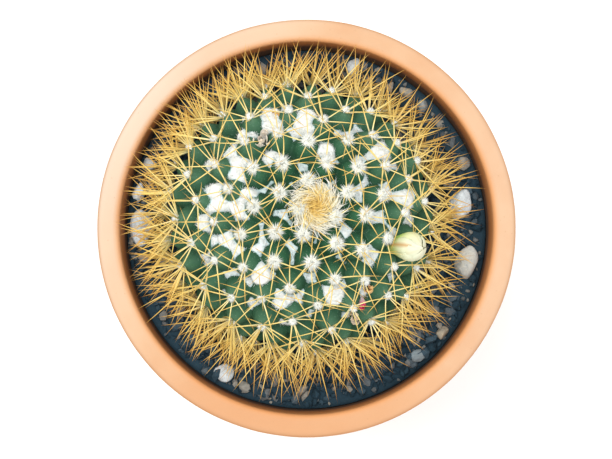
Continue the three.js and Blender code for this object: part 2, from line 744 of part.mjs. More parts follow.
const group = new THREE.Group();
group.add(pot(), soil());
STONES.forEach((row, i) => {
  const material = materials[row[5]];
  group.add(mesh(`stone_${i + 1}`, toGeometry(hullSolid(stonePoints(row, i + 1, 0))), material));
});
plant.add(mesh('cactus', toGeometry(cactus), materials.skin));
plant.add(creamBud());
SMALL_FLOWERS.forEach((flower, i) => plant.add(smallFlower(flower, 40 + i)));
plant.add(...woolPieces(flowerSolids));
group.add(plant);

export default group;
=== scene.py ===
"""A potted woolly nipple cactus: a low, round plant with golden spines and white wool,
growing in dark grit in a thick-rimmed clay pot, seen from almost straight above.

Shapes are worked out in millimetres, in the row frame, and put into meshes in metres.
"""

import bmesh
import bpy
import numpy as np
from mathutils import Matrix, Vector


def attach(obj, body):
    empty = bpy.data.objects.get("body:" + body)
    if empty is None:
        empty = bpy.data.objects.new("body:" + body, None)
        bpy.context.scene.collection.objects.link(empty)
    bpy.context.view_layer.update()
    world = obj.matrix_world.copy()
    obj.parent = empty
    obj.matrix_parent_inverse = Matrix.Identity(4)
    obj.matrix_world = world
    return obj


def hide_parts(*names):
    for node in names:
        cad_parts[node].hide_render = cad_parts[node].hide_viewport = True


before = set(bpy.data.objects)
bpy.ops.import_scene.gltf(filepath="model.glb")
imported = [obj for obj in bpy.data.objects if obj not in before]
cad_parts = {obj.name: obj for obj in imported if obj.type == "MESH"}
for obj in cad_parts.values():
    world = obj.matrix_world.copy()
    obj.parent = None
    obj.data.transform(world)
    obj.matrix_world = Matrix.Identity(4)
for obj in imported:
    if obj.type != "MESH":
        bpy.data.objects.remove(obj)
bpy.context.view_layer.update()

MM = 0.001
UP = np.array([0.0, 0.0, 1.0])
FULL = 2 * np.pi

# Pot
POT_HEIGHT = 105.0
RIM_RADIUS = 60.0
INNER_RADIUS = 53.4
RIM_ROUND = 2.0
LIP_ROUND = 1.3
COLLAR_FOOT = 81.0
COLLAR_RADIUS = 58.4
COLLAR_STEP = 3.0
COLLAR_INNER_RADIUS = 51.5
FOOT_RADIUS = 39.5
FLOOR_RADIUS = 34.2
FLOOR_THICKNESS = 7.0
DRAIN_RADIUS = 5.0
DRAIN_ROUND = 0.8
FOOT_ROUND = 1.1
LIP_DEPTH = 3.0

# Bearings round the pot of the painted light on the rim, the painted ruddy shade, and the painted
# light and painted shade on the inner wall
PAINTED_LIGHT_BEARING = np.radians(153)
RUDDY_SHADE_BEARING = np.radians(268)
LIT_LIP_BEARING = np.radians(150)
SHADED_BEARING = np.radians(95)

# Grit
SOIL_LEVEL = 95.0
GAP = 0.35
GRAIN_COUNT = 3000

# Plant
BODY_RADIUS = 32.1
BODY_HALF_HEIGHT = 22.5
PLANT_PLACE = np.array([-1.64, 2.79, POT_HEIGHT - 1])
LEAN_BACK = np.radians(3.2)
LEAN_RIGHT = np.radians(8.9)

# Nipples, counted from the crown outwards
GOLDEN_ANGLE = np.radians(137.5)
FIRST_AZIMUTH = np.radians(55.9)
CELL_AREA = 71.5
CROWN_CROWDING = 0.38
CROWN_FADE = 8.0
BURIED_FROM = np.radians(122)
NIPPLE_HEIGHT = 6.3
LOWEST_TIP = 2.8
LOWEST_BASE = 0.8
AREOLE_RADIUS = 1.85
TUFT_RADIUS = 5.6

# Hairs and bristles
SPINE_RADIUS = (0.16, 0.22)
FELT_HAIRS = 270
FELT_RADIUS = 0.15
WISP_COUNT = 16000
WISP_RADIUS = (0.06, 0.11)
TUFT_BRISTLES = 640
TUFT_BRISTLE_RADIUS = (0.09, 0.15)

# Wool in the axils: how far it is sunk where there is none, the distances from the crown
# between which it ends, and the width of a patch's edge. Each patch has its place across the
# pot from its axis, how far it reaches level, and its height.
WOOL_SUNK = 0.8
WOOL_END = (31.3, 29.5)
WOOL_EDGE = 2.6
WOOL = np.array([
    [-0.5, 26, 2.6, 4.8], [-9.2, 26.5, 2.6, 4.5], [-4, 23.2, 1.4, 3.2], [-15.4, 22, 1.8, 4.1],
    [-15.5, 28.8, 1.8, 3], [-5.2, 30, 1.4, 3], [-17.6, 13.8, 3, 4], [-9.1, 16.3, 1.7, 3.7],
    [-24.5, 15.2, 1.4, 3], [-19.6, 18.4, 1.8, 3.6], [-23, 6.2, 3.2, 4.6], [-25.8, 0.4, 1.7, 4],
    [-29.5, 4, 2.6, 2.2], [-16, 4.8, 3.2, 4.2], [-18.2, -7.8, 1.6, 3.4], [-13, -7.6, 1.4, 2.7],
    [-20.2, -4.2, 2.2, 3.6], [-24.6, -6.5, 2.8, 3], [-28, -12.6, 2.4, 2.8], [-18.8, -12, 1.6, 2.2],
    [-11.8, -12.7, 1.8, 4.8], [-15.2, -16, 1.8, 2.7], [-13.5, -19.8, 1.4, 2.5], [-6.4, -18.9, 2, 4.2],
    [-1.6, -19.3, 1.5, 2.9], [-5.4, -24.9, 1.3, 2.7], [0.7, -12.8, 1.6, 2.3], [6.3, -17.6, 2, 4.9],
    [10.6, -15.9, 1.7, 2.6], [14.3, -16.8, 1.4, 2.5], [16.6, -8, 2.4, 3], [22.7, -1, 1.7, 2.8],
    [20, 1.8, 1.7, 2.9], [25.3, 2.5, 1.6, 3.4], [25, 6.7, 2, 4.9], [20.6, 9.8, 2.2, 2.7],
    [18.4, 18.7, 2, 4.9], [22.6, 15.4, 2, 2.3], [17.6, 24, 2, 2.4], [11.8, 24.4, 2.6, 2.5],
    [6.4, 26, 2.2, 2.8], [4.5, 18.2, 1.7, 4.1],
])

# Flowers: where each leaves the plant across the pot, bearing, rise over the horizon, and size
BUD = dict(at=(21.7, -5.5), bearing=-8, rise=50, tube=3.8, length=12.6, radius=3.9)
SMALL_FLOWERS = [
    dict(name="pink_bud", at=(14.9, -21.5), bearing=-78, rise=60, length=6.5, radius=1.7),
    dict(name="withered_1", at=(19.1, -18.7), bearing=150, rise=70, length=6, radius=2),
    dict(name="withered_2", at=(14.2, -24.1), bearing=-115, rise=74, length=6.5, radius=2),
    dict(name="withered_3", at=(-5.2, 29.8), bearing=178, rise=62, length=6.2, radius=1.8),
    dict(name="withered_4", at=(-12.2, 22.4), bearing=105, rise=84, length=7, radius=2.5),
]
TUBE_TOP = 2.7
FLOWER_STARTS = [0.9, 3.0, 2.2, 1.0, 0.8]
DRY_TONES = [0.0, 0.8, 0.15, 0.9, 0.0]

# Loose stones: bearing, distance from the axis, length round the wall, length towards it,
# height, and finish
STONES = [
    (8.8, 45.4, 9.6, 8.2, 7, "pumice"),
    (-12.2, 47.4, 10.2, 6.4, 6, "pumice"),
    (179.6, 48.2, 10.6, 7.2, 7, "pumice"),
    (168.2, 49.8, 6.4, 3.8, 5, "pumice"),
    (157.9, 49.4, 4.4, 4.2, 3.6, "pumice"),
    (-119.8, 48.2, 5.4, 6, 5, "pumice"),
    (-111.5, 49.4, 3.8, 3.8, 3.4, "pebble"),
    (73.8, 48.8, 4.8, 6.4, 5, "pumice"),
    (53.8, 49.4, 4.2, 3.2, 3, "pebble"),
    (46.6, 49.2, 3.6, 3.6, 3, "pebble"),
    (-37.6, 49.6, 4.2, 3.4, 3, "pebble"),
    (-49.2, 49.2, 4.6, 3.8, 3.4, "pebble"),
    (22.6, 49.4, 4.8, 3.8, 3.6, "pebble"),
]
STONE_SUNK = 0.3
STONE_TINTS = [0.05, 0.75, 0.0, 0.1, 0.3, 0.15, 0.5, 0.35, 0.6, 0.3, 0.8, 0.1, 0.5]


# Arrays and meshes

def unit(v):
    """Vectors scaled to length one."""
    return v / np.maximum(np.linalg.norm(v, axis=-1, keepdims=True), 1e-9)


def smooth_step(low, high, x):
    """0 below low, 1 above high, and a smooth S between."""
    t = np.clip((x - low) / (high - low), 0, 1)
    return t * t * (3 - 2 * t)


def cross_frame(along):
    """Two directions square to each given one, so that side x front = along."""
    along = unit(along)
    helper = np.where(np.abs(along[..., 2:3]) > 0.9, np.array([1.0, 0, 0]), UP)
    side = unit(np.cross(helper, along))
    return side, np.cross(along, side)


def circle(sides):
    """Angles of points spaced evenly round a circle."""
    return np.arange(sides) / sides * FULL


def polar_points(radius, bearing, level):
    """Points at a distance from the vertical axis, a bearing round it and a height."""
    radius, bearing, level = np.broadcast_arrays(radius, bearing, level)
    return np.stack([radius * np.cos(bearing), radius * np.sin(bearing), level], axis=-1)


def ball(rows, sides):
    """A unit ball in rows from its lower pole to its upper one, without the poles."""
    polar = np.linspace(np.pi, 0, rows + 2)[1:-1, None]
    return polar_points(np.sin(polar), circle(sides), np.cos(polar))


def ring_about(side, front, angle):
    """Unit vectors at angles from each side direction towards its front one."""
    return np.cos(angle)[..., None] * side[:, None] + np.sin(angle)[..., None] * front[:, None]


def raised(flat, up, rise):
    """Flat directions turned towards up by the angle rise."""
    return np.cos(rise)[..., None] * flat + np.sin(rise)[..., None] * up


def noise(points, size, seed=0):
    """Smooth value noise between -1 and 1: hashed corners of a grid of cells, blended by an
    S curve in each direction."""
    cell = np.asarray(points) / size + 31.7 * seed
    low = np.floor(cell)
    share = cell - low
    share = share * share * (3 - 2 * share)
    total = np.zeros(cell.shape[:-1])
    for corner in np.ndindex(2, 2, 2):
        corner = np.array(corner)
        code = np.sin((low + corner) @ np.array([12.9898, 78.233, 37.719])) * 43758.5453
        weight = np.prod(np.where(corner == 1, share, 1 - share), axis=-1)
        total += weight * (code - np.floor(code))
    return 2 * total - 1


def new_mesh(name, points, face_groups, material, fields=None, smooth=True):
    """One object from points in millimetres and arrays of faces, each array with one number
    of corners. fields are values at the points, kept as attributes."""
    mesh = bpy.data.meshes.new(name)
    mesh.vertices.add(len(points))
    mesh.vertices.foreach_set("co", (np.asarray(points) * MM).astype(np.float32).ravel())
    corners = np.concatenate([np.asarray(group).ravel() for group in face_groups])
    sizes = np.concatenate([np.full(len(group), group.shape[1]) for group in face_groups])
    mesh.loops.add(len(corners))
    mesh.loops.foreach_set("vertex_index", corners.astype(np.int32))
    mesh.polygons.add(len(sizes))
    starts = np.concatenate([[0], np.cumsum(sizes)[:-1]])
    mesh.polygons.foreach_set("loop_start", starts.astype(np.int32))
    mesh.polygons.foreach_set("use_smooth", np.full(len(sizes), smooth))
    mesh.update(calc_edges=True)
    for field, values in (fields or {}).items():
        attribute = mesh.attributes.new(field, "FLOAT", "POINT")
        attribute.data.foreach_set("value", np.asarray(values, np.float32).ravel())
    piece = bpy.data.objects.new(name, mesh)
    bpy.context.scene.collection.objects.link(piece)
    mesh.materials.append(material)
    return piece


def finish_piece(piece, slot, *nodes):
    """The piece rides on the body named root, and stands for the given nodes, which are hidden.
    slot is not used.
    """
    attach(piece, "root")
    if nodes:
        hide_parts(*nodes)
    return piece


def ring_faces(rows, sides, closed):
    """Quads between rows of points round an axis. closed joins the last row to the first."""
    i = np.arange(rows if closed else rows - 1)[:, None]
    j = np.arange(sides)[None]
    k = (j + 1) % sides
    n = (i + 1) % rows
    quads = np.stack([i * sides + j, i * sides + k, n * sides + k, n * sides + j], axis=-1)
    return quads.reshape(-1, 4)


def turned(outline, sides):
    """A closed outline of (radius, height) carried round the vertical axis."""
    outline = np.asarray(outline, float)
    return polar_points(outline[:, :1], circle(sides), outline[:, 1:])


def capped(rows, bottom, top):
    """Points and faces of a closed skin: rows of points from a bottom pole to a top pole."""
    count, sides = rows.shape[:2]
    points = np.concatenate([rows.reshape(-1, 3), [bottom], [top]])
    j = np.arange(sides)
    k = (j + 1) % sides
    low = np.stack([np.full(sides, count * sides), k, j], axis=-1)
    last = (count - 1) * sides
    high = np.stack([last + j, last + k, np.full(sides, count * sides + 1)], axis=-1)
    return points, [ring_faces(count, sides, False), low, high]


def bristles(roots, tips, radii, sides=3, stations=1, bow=None, taper=1.0):
    """Tapered rods, each closed. The centre line runs straight from root to tip, plus bow
    times a parabola; the radius falls to nothing at the tip as 1 - share ** taper. Returns
    points, faces, each point's share of the way, and the number of points a rod."""
    count = len(roots)
    share = np.arange(stations) / stations
    line = roots[:, None] + share[:, None] * (tips - roots)[:, None]
    if bow is not None:
        line = line + (4 * share * (1 - share))[:, None] * bow[:, None]
    ring = ring_about(*cross_frame(tips - roots), circle(sides))
    thick = radii[:, None] * (1 - share ** taper)[None]
    body = line[:, :, None] + thick[:, :, None, None] * ring[:, None]
    points = np.concatenate([body.reshape(count, -1, 3), tips[:, None]], axis=1)
    per = stations * sides + 1
    start = (np.arange(count) * per)[:, None, None]
    groups = []
    if stations > 1:
        groups.append((start + ring_faces(stations, sides, False)[None]).reshape(-1, 4))
    j = np.arange(sides)
    last = (stations - 1) * sides
    point = np.stack([last + j, last + (j + 1) % sides, np.full(sides, per - 1)], axis=-1)
    groups.append((start + point[None]).reshape(-1, 3))
    groups.append((start[:, 0] + j[::-1][None]).reshape(-1, sides))
    along = np.append(np.repeat(share, sides), 1.0)
    return points.reshape(-1, 3), groups, np.tile(along, count), per


# Materials

def socket_link(tree, source, target):
    """A link from an output to an input."""
    tree.links.new(source, target)


def add_node(tree, kind, **values):
    """A shader node with its properties and, by name, its inputs' plain values."""
    node = tree.nodes.new(kind)
    inputs = values.pop("inputs", {})
    for key, value in values.items():
        setattr(node, key, value)
    for key, value in inputs.items():
        node.inputs[key].default_value = value
    return node


def new_group(name, inputs, outputs):
    """An empty shader node group with float inputs and float or colour outputs."""
    tree = bpy.data.node_groups.new(name, "ShaderNodeTree")
    for label, value in inputs:
        item = tree.interface.new_socket(label, in_out="INPUT", socket_type="NodeSocketFloat")
        item.default_value = value
    for label, kind in outputs:
        tree.interface.new_socket(label, in_out="OUTPUT", socket_type=kind)
    return tree, tree.nodes.new("NodeGroupInput"), tree.nodes.new("NodeGroupOutput")


def grain_group():
    """Grain: two sizes of noise, as a mask round 0.5 and a fine height."""
    tree, given, result = new_group(
        "Grain", [("Coarse", 60.0), ("Fine", 900.0), ("Mix", 0.5)],
        [("Mask", "NodeSocketFloat"), ("Height", "NodeSocketFloat")])
    place = add_node(tree, "ShaderNodeTexCoord")
    coarse = add_node(tree, "ShaderNodeTexNoise", inputs={"Detail": 4.0, "Roughness": 0.6})
    fine = add_node(tree, "ShaderNodeTexNoise", inputs={"Detail": 3.0, "Roughness": 0.7})
    blend = add_node(tree, "ShaderNodeMix", data_type="FLOAT")
    for node, label in ((coarse, "Coarse"), (fine, "Fine")):
        socket_link(tree, place.outputs["Object"], node.inputs["Vector"])
        socket_link(tree, given.outputs[label], node.inputs["Scale"])
    socket_link(tree, given.outputs["Mix"], blend.inputs[0])
    socket_link(tree, coarse.outputs["Fac"], blend.inputs[2])
    socket_link(tree, fine.outputs["Fac"], blend.inputs[3])
    socket_link(tree, coarse.outputs["Fac"], result.inputs["Mask"])
    socket_link(tree, blend.outputs[0], result.inputs["Height"])
    return tree


def speck_group():
    """Specks: round spots on a scattered grid, 1 inside a spot and 0 outside."""
    tree, given, result = new_group(
        "Specks", [("Scale", 500.0), ("Size", 0.25)], [("Mask", "NodeSocketFloat")])
    place = add_node(tree, "ShaderNodeTexCoord")
    cells = add_node(tree, "ShaderNodeTexVoronoi")
    inside = add_node(tree, "ShaderNodeMath", operation="LESS_THAN")
    socket_link(tree, place.outputs["Object"], cells.inputs["Vector"])
    socket_link(tree, given.outputs["Scale"], cells.inputs["Scale"])
    socket_link(tree, cells.outputs["Distance"], inside.inputs[0])
    socket_link(tree, given.outputs["Size"], inside.inputs[1])
    socket_link(tree, inside.outputs[0], result.inputs["Mask"])
    return tree


SHADER_INPUTS = {
    "base_color": "Base Color",
    "roughness": "Roughness",
    "specular": "Specular IOR Level",
    "sheen": "Sheen Weight",
}


class Finish:
    """A material being made: its shader and short ways to add what drives it."""

    def __init__(self, name, **shader_values):
        self.material = bpy.data.materials.new(name)
        self.material.use_nodes = True
        self.tree = self.material.node_tree
        self.shader = self.tree.nodes["Principled BSDF"]
        for key, value in shader_values.items():
            self.shader.inputs[SHADER_INPUTS[key]].default_value = value

    def group(self, tree, **values):
        """A shared node group with its own input values."""
        node = add_node(self.tree, "ShaderNodeGroup", node_tree=tree)
        for key, value in values.items():
            node.inputs[key].default_value = value
        return node

    def field(self, name):
        """A mesh attribute as a value."""
        return add_node(self.tree, "ShaderNodeAttribute", attribute_name=name).outputs["Fac"]

    def ramp(self, source, stops):
        """Colours by position along a value."""
        node = add_node(self.tree, "ShaderNodeValToRGB")
        elements = node.color_ramp.elements
        while len(elements) < len(stops):
            elements.new(0.5)
        for element, (position, colour) in zip(elements, stops):
            element.position = position
            element.color = (*colour, 1)
        socket_link(self.tree, source, node.inputs["Fac"])
        return node.outputs["Color"]

    def blend(self, share, first, second, mode="MIX"):
        """Two colours mixed; each is a colour or a socket, and so is the share."""
        node = add_node(self.tree, "ShaderNodeMix", data_type="RGBA", blend_type=mode)
        for place, value in ((0, share), (6, first), (7, second)):
            socket = node.inputs[place]
            if isinstance(value, bpy.types.NodeSocket):
                socket_link(self.tree, value, socket)
            else:
                socket.default_value = value if np.isscalar(value) else (*value, 1)
        return node.outputs[2]

    def span(self, source, low, high):
        """A value from 0 to 1 spread over another range."""
        node = add_node(self.tree, "ShaderNodeMapRange", inputs={"To Min": low, "To Max": high})
        socket_link(self.tree, source, node.inputs["Value"])
        return node.outputs["Result"]

    def bump(self, height, distance, strength):
        """A normal raised by a height."""
        values = {"Distance": distance, "Strength": strength}
        node = add_node(self.tree, "ShaderNodeBump", inputs=values)
        socket_link(self.tree, height, node.inputs["Height"])
        return node.outputs["Normal"]

    def done(self, colour, rough=None, normal=None):
        """The material, once its colour, roughness and normal are linked."""
        for source, label in ((colour, "Base Color"), (rough, "Roughness"), (normal, "Normal")):
            if source is not None:
                socket_link(self.tree, source, self.shader.inputs[label])
        return self.material


grain = grain_group()
specks = speck_group()


def clay_finish():
    """Unglazed clay: peach with cloudy tone, fine grain and a few darker specks. Light and
    shade are painted on: paler painted light on one side of the rim, a ruddier painted shade
    on another, painted shade along the rim's outer edge and under the inner lip, and painted
    shade down the inner wall, from orange under the lip to dark above the grit."""
    f = Finish("clay", roughness=0.82, specular=0.2)
    tone = f.group(grain, Coarse=28.0, Fine=1500.0, Mix=0.65)
    spots = f.group(specks, Scale=420.0, Size=0.09)
    colour = f.ramp(tone.outputs["Mask"], [
        (0.3, (0.585, 0.325, 0.178)), (0.5, (0.62, 0.386, 0.232)), (0.72, (0.65, 0.43, 0.275))])
    # Painted light: paler clay on the side of the rim that the light falls on.
    colour = f.blend(f.field("painted_light"), colour, (0.67, 0.57, 0.46))
    # Painted shade: a darker, ruddier tone on another side of the rim.
    colour = f.blend(f.field("painted_ruddy_shade"), colour, (0.58, 0.29, 0.14))
    colour = f.blend(f.span(spots.outputs["Mask"], 0.0, 0.25), colour, (0.45, 0.24, 0.12))
    # Painted shade along the rim's rounded outer edge.
    colour = f.blend(f.field("edge"), colour, (0.50, 0.22, 0.08))
    # Painted shade on the inner lip's rounding, less on its lit side.
    colour = f.blend(f.field("lip"), colour, (0.68, 0.30, 0.11))
    # Painted shade down the inner wall: orange under the lip, dark above the grit, reaching higher on
    # the shaded side.
    wall = f.ramp(f.field("damp"), [
        (0.0, (0.60, 0.27, 0.10)), (0.17, (0.56, 0.235, 0.08)), (0.57, (0.46, 0.18, 0.062)),
        (0.92, (0.33, 0.13, 0.05)), (1.0, (0.12, 0.065, 0.04))])
    colour = f.blend(f.span(f.field("damp"), 0.0, 4.0), colour, wall)
    rough = f.span(tone.outputs["Height"], 0.72, 0.95)
    return f.done(colour, rough, f.bump(tone.outputs["Height"], 0.00018, 0.6))


def skin_finish():
    """Plant skin: deep green with tiny pale dots, darkened by painted shade towards the pits,
    nearly black in them.
    """
    f = Finish("plant_skin", roughness=0.55, specular=0.12)
    tone = f.group(grain, Coarse=160.0, Fine=2200.0, Mix=0.5)
    dots = f.group(specks, Scale=1500.0, Size=0.2)
    # Both ramps run on lift, the skin's height over the spheroid: painted shade, nearly black in the
    # pits between the nipples.
    young = f.ramp(f.field("lift"), [
        (0.0, (0.001, 0.014, 0.006)), (0.4, (0.004, 0.052, 0.019)), (0.75, (0.020, 0.115, 0.048)),
        (1.0, (0.055, 0.18, 0.09))])
    old = f.ramp(f.field("lift"), [
        (0.0, (0.003, 0.018, 0.008)), (0.4, (0.013, 0.068, 0.032)), (0.8, (0.046, 0.134, 0.072)),
        (1.0, (0.10, 0.20, 0.12))])
    colour = f.blend(f.field("old"), young, old)
    colour = f.blend(f.span(tone.outputs["Mask"], 0.0, 0.35), colour, (0.02, 0.09, 0.045))
    haze = f.group(grain, Coarse=900.0, Fine=4000.0, Mix=0.6)
    colour = f.blend(f.span(haze.outputs["Mask"], 0.0, 0.12), colour, (0.24, 0.36, 0.27))
    colour = f.blend(f.span(dots.outputs["Mask"], 0.0, 0.16), colour, (0.30, 0.50, 0.36))
    return f.done(colour, f.span(tone.outputs["Mask"], 0.45, 0.7),
                  f.bump(tone.outputs["Height"], 0.00015, 0.5))


def spine_finish():
    """Spines: pale straw where they leave the felt, gold along, amber at the point; the old
    ones low on the plant are orange-brown, partly from age and partly as painted shade near
    the grit."""
    f = Finish("spine", roughness=0.4, specular=0.4)
    young = f.ramp(f.field("along"), [
        (0.0, (0.97, 0.92, 0.62)), (0.25, (0.90, 0.75, 0.30)), (0.65, (0.85, 0.60, 0.15)),
        (1.0, (0.64, 0.31, 0.04))])
    old = f.ramp(f.field("along"), [
        (0.0, (0.80, 0.58, 0.20)), (0.5, (0.70, 0.44, 0.10)), (1.0, (0.48, 0.20, 0.03))])
    return f.done(f.blend(f.field("tone"), young, old))


def felt_finish():
    """Felt on the nipples: cream at the hairs' roots and the cushion, white at their ends."""
    f = Finish("felt", roughness=1.0, specular=0.1, sheen=0.2)
    return f.done(f.ramp(f.field("along"), [
        (0.0, (0.95, 0.94, 0.83)), (0.4, (0.92, 0.935, 0.88)), (1.0, (0.91, 0.94, 0.92))]))


def axil_wool_finish():
    """Wool in the axils: white where it is deep, and thinning to a blue-green veil over the
    skin at its edge; painted shade darkens it where it lies low in the grooves."""
    f = Finish("axil_wool", roughness=1.0, specular=0.1, sheen=0.2)
    tone = f.group(grain, Coarse=700.0, Fine=3200.0, Mix=0.6)
    colour = f.ramp(f.field("depth"), [
        (0.0, (0.09, 0.24, 0.19)), (0.15, (0.34, 0.50, 0.50)), (0.4, (0.62, 0.74, 0.76)),
        (0.8, (0.77, 0.81, 0.82)), (1.0, (0.82, 0.83, 0.81))])
    colour = f.blend(f.span(tone.outputs["Mask"], 0.0, 0.2), colour, (0.72, 0.86, 0.88))
    return f.done(colour, None, f.bump(tone.outputs["Height"], 0.0002, 0.5))


def tuft_finish():
    """Crown bristles: white at the fringe, through cream, to gold in the middle."""
    f = Finish("crown_tuft", roughness=0.6, specular=0.2)
    return f.done(f.ramp(f.field("tone"), [
        (0.0, (0.99, 0.98, 0.92)), (0.3, (0.98, 0.93, 0.74)), (0.65, (0.93, 0.77, 0.38)),
        (1.0, (0.82, 0.57, 0.16))]))


def pink_finish():
    """Pink bud: cream at the tepals' roots, deep pink at their ends, with a darker midrib."""
    f = Finish("pink_tepal", roughness=0.5, specular=0.35)
    tone = f.group(grain, Coarse=260.0, Fine=1800.0, Mix=0.5)
    rib = (0.80, 0.12, 0.24)
    colour = f.ramp(f.field("along"), [
        (0.0, (0.75, 0.72, 0.60)), (0.45, (0.93, 0.84, 0.86)), (0.66, (0.92, 0.50, 0.58)),
        (0.8, (0.88, 0.09, 0.24))])
    colour = f.blend(f.span(f.field("rib"), 0.0, 0.25), colour, rib)
    colour = f.blend(f.span(tone.outputs["Mask"], 0.0, 0.3), colour, rib, mode="MULTIPLY")
    return f.done(colour, None, f.bump(tone.outputs["Height"], 0.0002, 0.5))


def cream_finish():
    """Bud tepals: green at the root, pale yellow, near-white at the end; the outer ones
    greener, each with a thin brown midrib."""
    f = Finish("cream_tepal", roughness=0.5, specular=0.3)
    tone = f.group(grain, Coarse=260.0, Fine=1800.0, Mix=0.5)
    inner = f.ramp(f.field("along"), [
        (0.0, (0.40, 0.54, 0.10)), (0.35, (0.62, 0.62, 0.24)), (0.6, (0.72, 0.76, 0.54)),
        (0.85, (0.66, 0.69, 0.53)), (1.0, (0.70, 0.68, 0.50))])
    outer = f.ramp(f.field("along"), [
        (0.0, (0.20, 0.46, 0.04)), (0.42, (0.36, 0.58, 0.09)), (0.68, (0.66, 0.70, 0.34)),
        (1.0, (0.68, 0.68, 0.46))])
    colour = f.blend(f.field("tone"), inner, outer)
    colour = f.blend(f.span(f.field("rib"), 0.0, 0.9), colour, (0.50, 0.27, 0.09))
    return f.done(colour, None, f.bump(tone.outputs["Height"], 0.0002, 0.5))


def dry_finish():
    """Withered tepals: papery tan at one end of their tones, orange-amber at the other."""
    f = Finish("dry_tepal", roughness=0.8, specular=0.15)
    tone = f.group(grain, Coarse=420.0, Fine=1800.0, Mix=0.5)
    papery = f.ramp(f.field("along"), [
        (0.0, (0.98, 0.96, 0.92)), (0.6, (0.98, 0.94, 0.89)), (1.0, (0.94, 0.83, 0.68))])
    amber = f.ramp(f.field("along"), [
        (0.0, (0.86, 0.60, 0.20)), (0.6, (0.90, 0.54, 0.13)), (1.0, (0.80, 0.38, 0.08))])
    colour = f.blend(f.field("tone"), papery, amber)
    colour = f.blend(f.span(tone.outputs["Mask"], 0.0, 0.16), colour, (0.62, 0.36, 0.16))
    return f.done(colour, None, f.bump(tone.outputs["Height"], 0.0004, 0.7))


def stone_finish(name, light, tan, dark, pits):
    """Stone: light or tan by the stone, with darker grain, and dark pores as strong as pits
    says."""
    f = Finish(name, roughness=0.92, specular=0.2)
    tone = f.group(grain, Coarse=330.0, Fine=1700.0, Mix=0.5)
    holes = f.group(specks, Scale=1300.0, Size=0.3)
    body = f.blend(f.field("tint"), light, tan)
    shade = f.ramp(tone.outputs["Mask"], [(0.32, (0.6, 0.6, 0.6)), (0.6, (0, 0, 0))])
    colour = f.blend(shade, body, dark)
    colour = f.blend(f.span(holes.outputs["Mask"], 0.0, pits), colour, dark)
    return f.done(colour, None, f.bump(tone.outputs["Height"], 0.0005, 0.8))


def grit_finish():
    """Grit: mostly blue-black grains, with a few brown and grey ones."""
    f = Finish("grit", roughness=0.9, specular=0.25)
    tone = f.group(grain, Coarse=900.0, Fine=2600.0, Mix=0.5)
    colour = f.ramp(f.field("tone"), [
        (0.0, (0.010, 0.028, 0.042)), (0.45, (0.025, 0.055, 0.078)), (0.7, (0.06, 0.10, 0.13)),
        (0.87, (0.17, 0.18, 0.18)), (1.0, (0.40, 0.36, 0.29))])
    colour = f.blend(f.span(tone.outputs["Mask"], 0.0, 0.5), colour, (0.015, 0.04, 0.062))
    return f.done(colour, None, f.bump(tone.outputs["Height"], 0.0004, 0.7))


clay = clay_finish()
skin_material = skin_finish()
spine_material = spine_finish()
wool_material = axil_wool_finish()
felt_material = felt_finish()
tuft_material = tuft_finish()
grit_material = grit_finish()
stone_materials = {
    "pumice": stone_finish(
        "pumice", (0.72, 0.80, 0.84), (0.50, 0.46, 0.36), (0.36, 0.40, 0.42), 0.35),
    "pebble": stone_finish(
        "pebble", (0.22, 0.30, 0.35), (0.50, 0.40, 0.26), (0.14, 0.15, 0.15), 0.1),
}


# Pot

def arc(centre, radius, start, end, steps):
    """Points along a round stretch of outline, from one angle in degrees to another."""
    angle = np.radians(np.linspace(start, end, steps))
    return [(centre[0] + radius * np.cos(a), centre[1] + radius * np.sin(a)) for a in angle]


def inner_radius(z):
    """The pot's inner wall: one slope below the collar and a steeper one inside it."""
    return np.interp(z, [FLOOR_THICKNESS, COLLAR_FOOT, POT_HEIGHT],
                     [FLOOR_RADIUS, COLLAR_INNER_RADIUS, INNER_RADIUS])


def straight(start, end, steps):
    """Points along a straight stretch of outline, without its end."""
    share = np.linspace(0, 1, steps, endpoint=False)[:, None]
    return [tuple(p) for p in np.array(start) * (1 - share) + np.array(end) * share]


